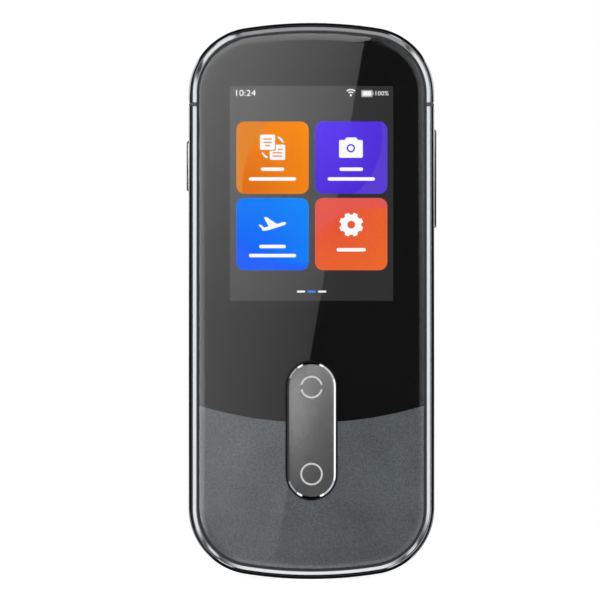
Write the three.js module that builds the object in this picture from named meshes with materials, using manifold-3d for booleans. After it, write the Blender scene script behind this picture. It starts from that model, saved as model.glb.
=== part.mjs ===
// A handheld translator, standing upright. Millimetres, +Z up, the screen faces -Y.
// Pieces are drawn in a body frame: x to the right, depth backwards from the face of the
// glass, z up from the lowest point. The outer group then centres the body on the origin.
import * as THREE from 'three';
import { mergeVertices } from 'three/addons/utils/BufferGeometryUtils.js';
import Module from 'manifold-3d';

const wasm = await Module();
wasm.setup();

// Body outline, seen from the front
const WIDTH = 55.5;
const HEIGHT = 125.6;
const THICKNESS = 11.6;
const CORNER_RADIUS = 15;
const END_RADIUS = 96;

// Clearances
const FIT = 0.3;
const SEAM = 0.2;
const SNUG = 0.1;
const OVERRUN = 4;

// Glass, print and display, front to back
const GLASS_THICKNESS = 0.8;
const GLASS_EDGE_WIDTH = 1.6;
const GLASS_EDGE_DROP = 0.4;
const FILM_THICKNESS = 0.15;
const FILM_MARGIN = 0.3;
const PRINT_ARC_RISE = 35.4;
const PRINT_ARC_RADIUS = 87;
const GASKET_THICKNESS = 0.15;
const PANEL_THICKNESS = 1.5;
const LAMP_THICKNESS = 0.95;
const DISPLAY_DROP = 11.2;
const DISPLAY_SIDE_GAP = 2.59;
const DISPLAY_KEY_GAP = 5.15;
const SCREEN_SIDE_BORDER = 3;
const SCREEN_TOP_BORDER = 3;
const SCREEN_LOW_BORDER = 8.3;
const RIBBON_WIDTH = 12;
const RIBBON_THICKNESS = 0.2;
const RIBBON_DROP = 3;
const RIBBON_LIFT = 0.05;

// Frame and the tray inside it
const FRAME_WALL = 2;
const FRAME_DEPTH = 6.6;
const LIP_DROP = 0.15;
const TRAY_RIM = 1.5;
const PLATE_THICKNESS = 1;
const TAB_THICKNESS = 0.8;
const TAB_LENGTH = 4.6;
const TAB_WIDTH = 5;
const TOP_TAB_PLACE = 10;
const HIGH_TAB_KEY_GAP = 17.1;
const LOW_TAB_RISE = 20;
const SCREW_PLACE = 3;

// Antenna inlays
const INLAY_DROP = 18.5;
const INLAY_HEIGHT = 0.6;
const INLAY_DEPTH = 0.4;
const GROOVE_GAP = 0.15;

// Back cover
const BACK_WALL = 1.2;
const BACK_STEP = 0.15;
const BACK_EDGE_WIDTH = 6.2;
const BACK_HOLLOW_WIDTH = 4.5;
const SKIRT_WALL = 0.8;

// Talk key, a rocker on the front
const KEY_WIDTH = 10.9;
const KEY_LENGTH = 30.7;
const KEY_GAP = 0.42;
const KEY_RISE = 33.6;
const KEY_PROUD = 0.5;
const KEY_CHAMFER = 0.35;
const DOME_PLACE = 9.8;
const PAD_MARGIN = 0.3;
const PAD_THICKNESS = 0.6;
const PAD_FLANGE = 0.6;
const PAD_FLANGE_THICKNESS = 0.3;
const NUB_RADIUS = 1.5;
const NUB_HEIGHT = 0.3;
const DOME_RADIUS = 2.5;
const DOME_HEIGHT = 0.4;
const KEY_BOARD_THICKNESS = 0.6;
const PIVOT_WIDTH = 6;

// Side keys and their switches
const VOLUME_DROP = 35.15;
const VOLUME_LENGTH = 22.7;
const POWER_DROP = 32.3;
const POWER_LENGTH = 11.8;
const SIDE_SLOT_WIDTH = 2.2;
const SIDE_KEY_GAP = 0.18;
const SIDE_KEY_PROUD = 0.5;
const SIDE_FLANGE_OVER = 0.2;
const SIDE_FLANGE_LENGTH_OVER = 0.6;
const SIDE_FLANGE_THICKNESS = 0.5;
const SIDE_FLANGE_PLAY = 0.35;
const SIDE_NUB_RADIUS = 0.6;
const SIDE_NUB_HEIGHT = 0.1;
const PRESS_PLAY = 0.22;
const PLUNGER_RADIUS = 0.45;
const PLUNGER_HEIGHT = 0.3;
const SWITCH_LENGTH = 3.4;
const SWITCH_WIDTH = 2.2;
const SWITCH_HEIGHT = 1.2;
const SWITCH_PLACE = 7.5;
const SIDE_BOARD_THICKNESS = 0.5;
const SIDE_BOARD_WIDTH = 2.6;
const SIDE_BOARD_MARGIN = 2;

// Boards, battery and what they carry
const BOARD_THICKNESS = 1;
const BOARD_DROP = 41;
const BOARD_TOP_DROP = 7.6;
const BOARD_SIDE_GAP = 2.58;
const BOARD_CORNER = 8;
const BOARD_SCREW_INSET = 3;
const SHIELD_HEIGHT = 1.8;
const PROCESSOR_WIDTH = 18;
const PROCESSOR_HEIGHT = 13;
const RADIO_MARGIN = 3.75;
const RADIO_HEIGHT = 12;
const SHIELD_GAP = 2;
const BATTERY_SIDE_GAP = 4.58;
const BATTERY_RISE = 23;
const BATTERY_TOP_GAP = 3;
const BATTERY_CORNER = 2;
const BATTERY_BACK_GAP = 0.8;
const BATTERY_TAPE = 0.4;
const TAPE_GAP = 2;
const TAPE_MARGIN = 2;
const LEAD_WIDTH = 4;
const LEAD_THICKNESS = 1.2;
const LEAD_MARGIN = 3;
const LEAD_OVERLAP = 3;
const LOWER_BOARD_THICKNESS = 0.8;
const LOWER_BOARD_SIDE_GAP = 5.58;
const LOWER_BOARD_RIGHT = 7.2;
const LOWER_BOARD_LOW = 4;
const LOWER_BOARD_HIGH = 20;
const LOWER_BOARD_CORNER = 5;
const LOWER_SCREW_INSET = 3;
const MIC_PLACE = 8;
const MIC_WIDTH = 3;
const MIC_LENGTH = 4;
const MIC_HEIGHT = 1;
const MIC_HOLE_RADIUS = 0.4;
const SPEAKER_SIDE_GAP = 6.08;
const SPEAKER_LENGTH = 13.5;
const SPEAKER_HEIGHT = 5;
const SPEAKER_RISE = 6;
const SPEAKER_CORNER = 1.5;
const SOUND_HOLES = 4;
const SOUND_HOLE_RADIUS = 0.55;
const SOUND_HOLE_PLACE = 7.6;
const SOUND_HOLE_PITCH = 2.1;

// Charging port
const PORT_WIDTH = 8.94;
const PORT_HEIGHT = 3.2;
const PORT_WALL = 0.35;
const PORT_LENGTH = 7.3;
const PORT_SINK = 0.5;
const PORT_GAP = 0.2;
const PORT_FLOOR = 0.8;
const TONGUE_WIDTH = 6.6;
const TONGUE_THICKNESS = 0.7;
const TONGUE_SINK = 0.8;
const PORT_EAR_LENGTH = 3;
const PORT_EAR_REACH = 1.8;
const PORT_EAR_THICKNESS = 0.3;
const PORT_EAR_ROOT = 0.5;

// Camera island
const ISLAND_WIDTH = 27.4;
const ISLAND_HEIGHT = 9.5;
const ISLAND_PROUD = 0.5;
const ISLAND_CHAMFER = 0.3;
const ISLAND_RIM = 0.78;
const ISLAND_LEDGE = 0.6;
const ISLAND_FLANGE = 0.7;
const ISLAND_FLANGE_THICKNESS = 0.7;
const WINDOW_SINK = 0.2;
const WINDOW_THICKNESS = 0.9;
const LENS_RADIUS = 2.57;
const LENS_WALL = 0.68;
const LENS_FLANGE = 0.6;
const LENS_FLANGE_THICKNESS = 0.7;
const LENS_LEDGE = 0.35;
const LENS_SEAT = 0.2;
const LENS_GLASS_THICKNESS = 0.4;
const LENS_DOME = 0.15;
const LENS_GLASS_GAP = 0.04;
const FLASH_EDGE_GAP = 6.04;
const FLASH_RADIUS = 1.33;
const FLASH_FLANGE = 0.5;
const FLASH_FLANGE_THICKNESS = 0.6;
const FLASH_SINK = 0.05;
const FLASH_BOARD_WIDTH = 5.2;
const FLASH_BOARD_THICKNESS = 0.5;
const FLASH_LAMP_SIDE = 2;
const FLASH_LAMP_HEIGHT = 0.6;
const REAR_MIC_GAP = 1.2;
const REAR_MIC_RADIUS = 0.3;
const REAR_MIC_PAD = 0.75;
const REAR_MIC_WIDTH = 2.6;
const REAR_MIC_LENGTH = 2.4;
const REAR_MIC_HEIGHT = 1.2;
const CAMERA_SIDE = 8.5;
const CAMERA_HEIGHT = 3.6;
const BARREL_RADIUS = 2.3;

// Screws
const SCREW_RADIUS = 0.7;
const SCREW_HEAD_RADIUS = 1.25;
const SCREW_HEAD_HEIGHT = 0.6;
const SCREW_SOCKET_RADIUS = 0.5;
const SCREW_SOCKET_DEPTH = 0.3;
const SCREW_TIP_GAP = 0.2;

// Steps of round stretches
const QUARTER_STEPS = 5;
const CORNER_STEPS = 8;
const END_STEPS = 6;
const LIP_STEPS = 4;
const EDGE_STEPS = 5;
const SCREW_STEPS = 12;

// Depths of the layers, from the glass face backwards
const filmFront = GLASS_THICKNESS;
const filmBack = filmFront + FILM_THICKNESS;
const trayFront = filmBack + GASKET_THICKNESS;
const panelBack = filmBack + PANEL_THICKNESS;
const plateFront = panelBack + LAMP_THICKNESS;
const plateBack = plateFront + PLATE_THICKNESS;
const tabBack = plateBack + TAB_THICKNESS;
const boardBack = plateBack + BOARD_THICKNESS;
const skirtFront = tabBack + SCREW_HEAD_HEIGHT;
const backFront = FRAME_DEPTH + SEAM;
const backInner = THICKNESS - BACK_WALL;
const sideDepth = (LIP_DROP + FRAME_WALL + FRAME_DEPTH) / 2;

// Insets of the rings, from the outline inwards
const glassInset = FRAME_WALL + SEAM;
const filmInset = glassInset + FILM_MARGIN;
const trayInset = FRAME_WALL + FIT;
const trayInnerInset = trayInset + TRAY_RIM;
const skirtInnerInset = trayInset + SKIRT_WALL;

// Talk key stack, from its board forwards
const keyBoardFront = plateFront - KEY_BOARD_THICKNESS;
const domeFront = keyBoardFront - DOME_HEIGHT;
const nubBack = domeFront - FIT;
const padBack = nubBack - NUB_HEIGHT;
const padFlangeFront = padBack - PAD_FLANGE_THICKNESS;
const keyBack = padFlangeFront - PAD_THICKNESS;

// Places seen from the front
const slotTop = KEY_RISE + KEY_LENGTH / 2 + KEY_GAP;
const displayHalf = WIDTH / 2 - trayInnerInset - DISPLAY_SIDE_GAP;
const displayTop = HEIGHT - DISPLAY_DROP;
const displayBottom = slotTop + DISPLAY_KEY_GAP;
const inlayRise = HEIGHT - INLAY_DROP;
const gapHalf = INLAY_HEIGHT / 2 + GROOVE_GAP;
const frameInner = WIDTH / 2 - FRAME_WALL;
const boardBottom = HEIGHT - BOARD_DROP;
const boardTop = HEIGHT - BOARD_TOP_DROP;
const batteryTop = boardBottom - BATTERY_TOP_GAP;
const ribbonRise = displayBottom - RIBBON_DROP;
const volumeRise = HEIGHT - VOLUME_DROP;
const powerRise = HEIGHT - POWER_DROP;
const highTabRise = volumeRise - VOLUME_LENGTH / 2 - HIGH_TAB_KEY_GAP;
const flashPlace = ISLAND_WIDTH / 2 - FLASH_EDGE_GAP;
const rearMicPlace = ISLAND_WIDTH / 2 + REAR_MIC_GAP;

// Side key stack, from the frame inwards
const flangeOuter = frameInner - SIDE_FLANGE_PLAY;
const flangeInner = flangeOuter - SIDE_FLANGE_THICKNESS;
const sideNubTip = flangeInner - SIDE_NUB_HEIGHT;
const plungerTip = sideNubTip - PRESS_PLAY;
const switchOuter = plungerTip - PLUNGER_HEIGHT;
const switchInner = switchOuter - SWITCH_HEIGHT;
const sideBoardInner = switchInner - SIDE_BOARD_THICKNESS;

// Half widths and sides that the side boards leave to what lies between them
const boardHalf = sideBoardInner - BOARD_SIDE_GAP;
const batteryHalf = sideBoardInner - BATTERY_SIDE_GAP;
const lowerBoardLeft = LOWER_BOARD_SIDE_GAP - sideBoardInner;
const speakerRight = sideBoardInner - SPEAKER_SIDE_GAP;

// Camera stack, from the island's face forwards
const islandBack = THICKNESS + ISLAND_PROUD;
const windowBack = islandBack - WINDOW_SINK;
const windowFront = windowBack - WINDOW_THICKNESS;
const lensFront = windowFront - LENS_FLANGE_THICKNESS;
const flashFront = windowFront - FLASH_FLANGE_THICKNESS;
const islandFront = backInner - ISLAND_FLANGE_THICKNESS;

const FINISHES = {
  glass: { color: 0x151719, roughness: 0.05, metalness: 0 },
  blackPrint: { color: 0x0b0b0c, roughness: 0.4, metalness: 0 },
  greyPrint: { color: 0x53585b, roughness: 0.5, metalness: 0.4 },
  polished: { color: 0x9a9ea2, roughness: 0.15, metalness: 1 },
  casing: { color: 0x51565a, roughness: 0.45, metalness: 0.3 },
  keyMetal: { color: 0x6e7174, roughness: 0.35, metalness: 0.9 },
  darkMetal: { color: 0x2b2d30, roughness: 0.3, metalness: 0.8 },
  inlay: { color: 0x1d1e20, roughness: 0.5, metalness: 0 },
  screen: { color: 0x333333, roughness: 0.3, metalness: 0 },
  lamp: { color: 0xd8dadc, roughness: 0.5, metalness: 0.2 },
  plastic: { color: 0x26282a, roughness: 0.6, metalness: 0 },
  rubber: { color: 0x1a1a1b, roughness: 0.85, metalness: 0 },
  board: { color: 0x1f4d35, roughness: 0.5, metalness: 0 },
  steel: { color: 0xb8bcc0, roughness: 0.3, metalness: 1 },
  cell: { color: 0x3c3f44, roughness: 0.4, metalness: 0.3 },
  tape: { color: 0xe6e2d6, roughness: 0.7, metalness: 0 },
  ribbon: { color: 0xb06a2a, roughness: 0.5, metalness: 0 },
  flash: { color: 0xf4f0d8, roughness: 0.3, metalness: 0 },
};

// Turn a closed three.js geometry into a solid that can be cut and joined
function toSolid(geometry) {
  geometry.deleteAttribute('normal');
  geometry.deleteAttribute('uv');
  const merged = mergeVertices(geometry);
  const corners = merged.index.array;
  const kept = [];
  for (let i = 0; i < corners.length; i += 3) {
    const [a, b, c] = corners.slice(i, i + 3);
    if (a !== b && b !== c && c !== a) kept.push(a, b, c);
  }
  const vertProperties = new Float32Array(merged.attributes.position.array);
  const triVerts = new Uint32Array(kept);
  return new wasm.Manifold(new wasm.Mesh({ numProp: 3, vertProperties, triVerts }));
}

// Turn a solid into a named mesh
function piece(name, solid, finish) {
  const { vertProperties, triVerts } = solid.getMesh();
  const geometry = new THREE.BufferGeometry();
  geometry.setAttribute('position', new THREE.BufferAttribute(vertProperties, 3));
  geometry.setIndex(new THREE.BufferAttribute(triVerts, 1));
  geometry.computeVertexNormals();
  const mesh = new THREE.Mesh(geometry, new THREE.MeshStandardMaterial(FINISHES[finish]));
  mesh.name = name;
  return mesh;
}

function placed(mesh, x, depth, z) {
  mesh.position.set(x, depth, z);
  return mesh;
}

function arc(x, y, radius, from, to, steps) {
  const points = [];
  for (let i = 0; i <= steps; i++) {
    const angle = from + ((to - from) * i) / steps;
    points.push(new THREE.Vector2(x + radius * Math.cos(angle), y + radius * Math.sin(angle)));
  }
  return points;
}

// Drop points that repeat the one before them
function distinct(points) {
  return points.filter((point, i) => {
    const before = points[(i + points.length - 1) % points.length];
    return point.distanceTo(before) > Number.EPSILON * END_RADIUS * THICKNESS;
  });
}

// The body's outline, moved inwards by an inset: straight sides, tight corners, bowed ends
function bodyOutline(inset) {
  const side = WIDTH / 2 - CORNER_RADIUS;
  const lean = Math.asin(side / (END_RADIUS - CORNER_RADIUS));
  const cornerRise = END_RADIUS - (END_RADIUS - CORNER_RADIUS) * Math.cos(lean);
  const high = HEIGHT - cornerRise;
  const corner = CORNER_RADIUS - inset;
  const end = END_RADIUS - inset;
  const quarter = Math.PI / 2;
  const half = Math.PI;
  const full = half + half;
  return distinct([
    ...arc(side, high, corner, 0, quarter - lean, CORNER_STEPS),
    ...arc(0, HEIGHT - END_RADIUS, end, quarter - lean, quarter + lean, END_STEPS),
    ...arc(-side, high, corner, quarter + lean, half, CORNER_STEPS),
    ...arc(-side, cornerRise, corner, half, half + quarter - lean, CORNER_STEPS),
    ...arc(0, END_RADIUS, end, half + quarter - lean, half + quarter + lean, END_STEPS),
    ...arc(side, cornerRise, corner, half + quarter + lean, full, CORNER_STEPS),
  ]);
}

// A slot with round ends, its long way given by the larger side
function pill(x, z, width, height) {
  return (inset) => {
    const radius = Math.min(width, height) / 2 - inset;
    const run = Math.abs(width - height) / 2;
    const steps = 2 * QUARTER_STEPS;
    if (width > height) {
      return [
        ...arc(x + run, z, radius, -Math.PI / 2, Math.PI / 2, steps),
        ...arc(x - run, z, radius, Math.PI / 2, (3 * Math.PI) / 2, steps),
      ];
    }
    return [
      ...arc(x, z + run, radius, 0, Math.PI, steps),
      ...arc(x, z - run, radius, Math.PI, 2 * Math.PI, steps),
    ];
  };
}

function disc(x, z, radius) {
  return distinct(arc(x, z, radius, 0, 2 * Math.PI, 4 * QUARTER_STEPS));
}

function rectangle(left, right, low, high) {
  return [
    new THREE.Vector2(left, low),
    new THREE.Vector2(right, low),
    new THREE.Vector2(right, high),
    new THREE.Vector2(left, high),
  ];
}

function roundedRectangle(left, right, low, high, radius) {
  const quarter = Math.PI / 2;
  return [
    ...arc(right - radius, low + radius, radius, -quarter, 0, QUARTER_STEPS),
    ...arc(right - radius, high - radius, radius, 0, quarter, QUARTER_STEPS),
    ...arc(left + radius, high - radius, radius, quarter, 2 * quarter, QUARTER_STEPS),
    ...arc(left + radius, low + radius, radius, 2 * quarter, 3 * quarter, QUARTER_STEPS),
  ];
}

function extruded(points, length) {
  const shape = new THREE.Shape(points);
  return new THREE.ExtrudeGeometry(shape, { depth: length, bevelEnabled: false });
}

// An outline seen from the front, given thickness between two depths
function plate(points, front, back) {
  const geometry = extruded(points, back - front);
  geometry.rotateX(Math.PI / 2);
  geometry.translate(0, back, 0);
  return toSolid(geometry);
}

// An outline in depth and z, given width between two places along x
function sidePlate(points, left, right) {
  const geometry = extruded(points, right - left);
  const axes = new THREE.Matrix4().makeBasis(
    new THREE.Vector3(0, 1, 0),
    new THREE.Vector3(0, 0, 1),
    new THREE.Vector3(1, 0, 0),
  );
  geometry.applyMatrix4(axes);
  geometry.translate(left, 0, 0);
  return toSolid(geometry);
}

// An outline in x and depth, given height between two places along z
function upright(points, low, high) {
  const geometry = extruded(points, high - low);
  geometry.translate(0, 0, low);
  return toSolid(geometry);
}

function block(left, right, low, high, front, back) {
  return plate(rectangle(left, right, low, high), front, back);
}

// Carry a section of insets and depths round an outline: as a ring, or with flat ends
function sweep(outlineAt, section, closed) {
  const rings = section.map(([inset]) => outlineAt(inset));
  const count = rings[0].length;
  const positions = rings.flatMap((ring, i) => ring.flatMap((p) => [p.x, section[i][1], p.y]));
  const index = [];
  const bands = closed ? rings.length : rings.length - 1;
  for (let band = 0; band < bands; band++) {
    const near = band * count;
    const far = ((band + 1) % rings.length) * count;
    for (let i = 0; i < count; i++) {
      const j = (i + 1) % count;
      index.push(near + i, far + i, far + j, near + i, far + j, near + j);
    }
  }
  if (!closed) {
    const last = (rings.length - 1) * count;
    for (const [a, b, c] of THREE.ShapeUtils.triangulateShape(rings[0], [])) index.push(a, b, c);
    for (const [a, b, c] of THREE.ShapeUtils.triangulateShape(rings.at(-1), [])) {
      index.push(last + c, last + b, last + a);
    }
  }
  const geometry = new THREE.BufferGeometry();
  geometry.setAttribute('position', new THREE.Float32BufferAttribute(positions, 3));
  geometry.setIndex(index);
  return toSolid(geometry);
}

// A turned piece on an axis that runs front to back, from pairs of radius and depth
function turned(profile, steps) {
  const points = profile.map(([radius, depth]) => new THREE.Vector2(radius, depth));
  return toSolid(new THREE.LatheGeometry(points, steps));
}

// A quarter of an ellipse as insets and depths, from the side of the body to its back
function backEdge(inset, width, rise) {
  const points = [];
  for (let i = 0; i <= EDGE_STEPS; i++) {
    const angle = ((Math.PI / 2) * i) / EDGE_STEPS;
    points.push([inset + width * (1 - Math.cos(angle)), backFront + rise * Math.sin(angle)]);
  }
  return points;
}

function lipEdge() {
  const points = [];
  for (let i = 0; i <= LIP_STEPS; i++) {
    const angle = ((Math.PI / 2) * i) / LIP_STEPS;
    const inset = FRAME_WALL * (1 - Math.sin(angle));
    points.push([inset, LIP_DROP + FRAME_WALL * (1 - Math.cos(angle))]);
  }
  return points;
}

const keySlot = pill(0, KEY_RISE, KEY_WIDTH + 2 * KEY_GAP, KEY_LENGTH + 2 * KEY_GAP);

function cutKeySlot(solid) {
  return solid.subtract(plate(keySlot(0), -OVERRUN, plateFront));
}

function makeGlass() {
  const section = [];
  for (let i = 0; i <= LIP_STEPS; i++) {
    const angle = ((Math.PI / 2) * i) / LIP_STEPS;
    const inset = glassInset + GLASS_EDGE_WIDTH * (1 - Math.sin(angle));
    section.push([inset, GLASS_EDGE_DROP * (1 - Math.cos(angle))]);
  }
  section.push([glassInset, GLASS_THICKNESS]);
  return piece('cover_glass', cutKeySlot(sweep(bodyOutline, section, false)), 'glass');
}

function makeFilms() {
  const sheet = plate(bodyOutline(filmInset), filmFront, filmBack);
  const centre = PRINT_ARC_RISE + PRINT_ARC_RADIUS;
  const half = SEAM / 2;
  const arcSteps = 16 * QUARTER_STEPS;
  const inside = distinct(arc(0, centre, PRINT_ARC_RADIUS - half, 0, 2 * Math.PI, arcSteps));
  const outside = distinct(arc(0, centre, PRINT_ARC_RADIUS + half, 0, 2 * Math.PI, arcSteps));
  const left = -displayHalf + SCREEN_SIDE_BORDER;
  const low = displayBottom + SCREEN_LOW_BORDER;
  const window = block(left, -left, low, displayTop - SCREEN_TOP_BORDER, 0, trayFront);
  const black = sheet.intersect(plate(inside, 0, trayFront)).subtract(window);
  const grey = sheet.subtract(plate(outside, 0, trayFront));
  return [
    piece('film_black', cutKeySlot(black), 'blackPrint'),
    piece('film_grey', cutKeySlot(grey), 'greyPrint'),
  ];
}

function makeGasket() {
  const outer = filmInset;
  const section = [
    [outer, filmBack],
    [outer, trayFront],
    [trayInnerInset, trayFront],
    [trayInnerInset, filmBack],
  ];
  return piece('glass_gasket', sweep(bodyOutline, section, true), 'rubber');
}

// The ribbon leaves the display's low edge, passes the tray and climbs to the main board
function makeRibbon() {
  const out = panelBack + RIBBON_THICKNESS;
  const back = plateBack + RIBBON_LIFT;
  const points = [
    new THREE.Vector2(panelBack, ribbonRise),
    new THREE.Vector2(back + RIBBON_THICKNESS, ribbonRise),
    new THREE.Vector2(back + RIBBON_THICKNESS, boardBottom),
    new THREE.Vector2(back, boardBottom),
    new THREE.Vector2(back, ribbonRise + RIBBON_THICKNESS),
    new THREE.Vector2(out, ribbonRise + RIBBON_THICKNESS),
    new THREE.Vector2(out, displayBottom),
    new THREE.Vector2(panelBack, displayBottom),
  ];
  return piece('display_flex', sidePlate(points, -RIBBON_WIDTH / 2, RIBBON_WIDTH / 2), 'ribbon');
}

function makeDisplay() {
  const outline = rectangle(-displayHalf, displayHalf, displayBottom, displayTop);
  return [
    piece('display_panel', plate(outline, filmBack, panelBack), 'screen'),
    piece('display_lamp', plate(outline, panelBack, plateFront), 'lamp'),
    makeRibbon(),
  ];
}

// Screw places on the frame's tabs: two at the top, two on each side
function frameScrewPlaces() {
  const side = frameInner - TAB_LENGTH + SCREW_PLACE / 2;
  const drop = END_RADIUS - Math.sqrt(END_RADIUS ** 2 - TOP_TAB_PLACE ** 2);
  const top = HEIGHT - FRAME_WALL - drop - TAB_LENGTH + SCREW_PLACE / 2;
  return [
    [-TOP_TAB_PLACE, top],
    [TOP_TAB_PLACE, top],
    [-side, highTabRise],
    [side, highTabRise],
    [-side, LOW_TAB_RISE],
    [side, LOW_TAB_RISE],
  ];
}

function boardScrewPlaces() {
  const side = boardHalf - BOARD_SCREW_INSET;
  return [
    [-side, boardBottom + BOARD_SCREW_INSET],
    [side, boardBottom + BOARD_SCREW_INSET],
    [0, boardTop - BOARD_SCREW_INSET],
  ];
}

function lowerScrewPlaces() {
  return [
    [lowerBoardLeft + LOWER_SCREW_INSET, LOWER_BOARD_LOW + LOWER_BOARD_CORNER],
    [lowerBoardLeft + LOWER_SCREW_INSET, LOWER_BOARD_HIGH - LOWER_SCREW_INSET],
  ];
}

function cutScrewHoles(solid, places) {
  return places.reduce((left, [x, z]) => {
    return left.subtract(plate(disc(x, z, SCREW_RADIUS + SNUG), 0, THICKNESS));
  }, solid);
}

// A pan-head screw with a socket, its head's seat at depth zero, its tip forwards
function makeScrew(name, x, z, seat) {
  const tip = plateFront + SCREW_TIP_GAP - seat;
  const profile = [
    [0, tip],
    [SCREW_RADIUS, tip],
    [SCREW_RADIUS, 0],
    [SCREW_HEAD_RADIUS, 0],
    [SCREW_HEAD_RADIUS, SCREW_HEAD_HEIGHT],
    [SCREW_SOCKET_RADIUS, SCREW_HEAD_HEIGHT],
    [SCREW_SOCKET_RADIUS, SCREW_HEAD_HEIGHT - SCREW_SOCKET_DEPTH],
    [0, SCREW_HEAD_HEIGHT - SCREW_SOCKET_DEPTH],
  ];
  return placed(piece(name, turned(profile, SCREW_STEPS), 'steel'), x, seat, z);
}

function makeScrews(prefix, places, seat) {
  return places.map(([x, z], i) => makeScrew(`${prefix}_${i + 1}`, x, z, seat));
}

// A slot through one side of the frame; side is 1 on the right and -1 on the left
function sideSlot(side, rise, length, grow) {
  const slot = pill(sideDepth, rise, SIDE_SLOT_WIDTH, length)(-grow);
  const inner = frameInner - OVERRUN / 2;
  const outer = WIDTH / 2 + OVERRUN;
  return side > 0 ? sidePlate(slot, inner, outer) : sidePlate(slot, -outer, -inner);
}

function soundHolePlaces() {
  return Array.from({ length: SOUND_HOLES }, (_, i) => SOUND_HOLE_PLACE + i * SOUND_HOLE_PITCH);
}

function cutLowEdge(ring) {
  const high = FRAME_WALL + OVERRUN / 2;
  const port = pill(0, sideDepth, PORT_WIDTH, PORT_HEIGHT)(-PORT_GAP);
  let cut = ring.subtract(upright(port, -OVERRUN, high));
  for (const x of soundHolePlaces()) {
    cut = cut.subtract(upright(disc(x, sideDepth, SOUND_HOLE_RADIUS), -OVERRUN, high));
  }
  return cut.subtract(upright(disc(-MIC_PLACE, sideDepth, MIC_HOLE_RADIUS), -OVERRUN, high));
}

// Tabs that lie on the back of the tray, one under each frame screw
function addTabs(ring) {
  const half = TAB_WIDTH / 2;
  let joined = ring;
  for (const [x, z] of frameScrewPlaces()) {
    const top = z > inlayRise;
    const reach = SCREW_PLACE / 2;
    const root = TAB_LENGTH - reach + FRAME_WALL / 2;
    const side = Math.sign(x);
    const near = side * (Math.abs(x) - reach);
    const far = side * (Math.abs(x) + root);
    const tab = top
      ? block(x - half, x + half, z - reach, z + root, plateBack, tabBack)
      : block(Math.min(near, far), Math.max(near, far), z - half, z + half, plateBack, tabBack);
    joined = joined.add(tab);
  }
  return cutScrewHoles(joined, frameScrewPlaces());
}

function makeFrame() {
  const section = [...lipEdge(), [0, FRAME_DEPTH], [FRAME_WALL, FRAME_DEPTH]];
  let ring = addTabs(sweep(bodyOutline, section, true));
  ring = ring.subtract(sideSlot(1, volumeRise, VOLUME_LENGTH, 0));
  ring = ring.subtract(sideSlot(-1, powerRise, POWER_LENGTH, 0));
  ring = cutLowEdge(ring);
  const above = block(-WIDTH, WIDTH, inlayRise + gapHalf, HEIGHT + OVERRUN, -OVERRUN, THICKNESS);
  const below = block(-WIDTH, WIDTH, -OVERRUN, inlayRise - gapHalf, -OVERRUN, THICKNESS);
  return [
    piece('frame_upper', ring.intersect(above), 'polished'),
    piece('frame_lower', ring.intersect(below), 'polished'),
  ];
}

// Points on one side of the body, from insets and depths
function onSide(section, side) {
  return section.map(([inset, depth]) => new THREE.Vector2(side * (WIDTH / 2 - inset), depth));
}

// The band that an antenna inlay fills in the back cover, down to a given depth below it
function inlayFloor(depth) {
  return backEdge(BACK_STEP + depth, BACK_EDGE_WIDTH, THICKNESS - backFront - depth);
}

// An inlay fills the gap in the frame's wall, climbs over the back edge and ends by the camera
function makeInlay(name, side) {
  const endInset = WIDTH / 2 - ISLAND_WIDTH / 2 - FIT;
  const outline = [
    ...lipEdge(),
    [0, FRAME_DEPTH],
    ...backEdge(BACK_STEP, BACK_EDGE_WIDTH, THICKNESS - backFront),
    [endInset, THICKNESS],
    [endInset, THICKNESS - INLAY_DEPTH],
    ...inlayFloor(INLAY_DEPTH).reverse(),
    [BACK_STEP + INLAY_DEPTH, FRAME_DEPTH],
    [FRAME_WALL, FRAME_DEPTH],
  ];
  const low = inlayRise - INLAY_HEIGHT / 2;
  let strip = upright(onSide(outline, side), low, low + INLAY_HEIGHT);
  if (side > 0) {
    const pad = disc(rearMicPlace, inlayRise, REAR_MIC_PAD);
    strip = strip.add(plate(pad, THICKNESS - INLAY_DEPTH, THICKNESS)).subtract(rearMicHole());
  }
  return piece(name, strip, 'inlay');
}

function rearMicHole() {
  return plate(disc(rearMicPlace, inlayRise, REAR_MIC_RADIUS), backFront, THICKNESS + OVERRUN);
}

function makeTray() {
  const section = [
    [trayInnerInset, plateFront],
    [trayInnerInset, trayFront],
    [trayInset, trayFront],
    [trayInset, plateBack],
  ];
  let tray = sweep(bodyOutline, section, false);
  tray = cutSideNotch(tray, 1, volumeRise, VOLUME_LENGTH);
  tray = cutSideNotch(tray, -1, powerRise, POWER_LENGTH);
  const ribbonHalf = RIBBON_WIDTH / 2 + FIT;
  const slotLow = ribbonRise - FIT;
  const slotHigh = ribbonRise + RIBBON_THICKNESS + FIT;
  tray = tray.subtract(block(-ribbonHalf, ribbonHalf, slotLow, slotHigh, 0, THICKNESS));
  tray = tray.subtract(portNotch());
  const places = [...frameScrewPlaces(), ...boardScrewPlaces(), ...lowerScrewPlaces()];
  return piece('mid_chassis', cutScrewHoles(tray, places), 'darkMetal');
}

function portNotch() {
  const half = PORT_WIDTH / 2 + FIT;
  const high = PORT_SINK + PORT_LENGTH + FIT;
  const reach = PORT_HEIGHT / 2 + FIT;
  return block(-half, half, -OVERRUN, high, sideDepth - reach, sideDepth + reach);
}

// Room for a side key's flange, its board and its switches
function cutSideNotch(solid, side, rise, length) {
  const half = length / 2 + SIDE_FLANGE_LENGTH_OVER + FIT;
  const front = sideDepth - SIDE_SLOT_WIDTH / 2 - SIDE_FLANGE_OVER - FIT;
  const left = Math.min(side * sideBoardInner, side * WIDTH);
  const right = Math.max(side * sideBoardInner, side * WIDTH);
  return solid.subtract(block(left, right, rise - half, rise + half, front, backFront));
}

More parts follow.
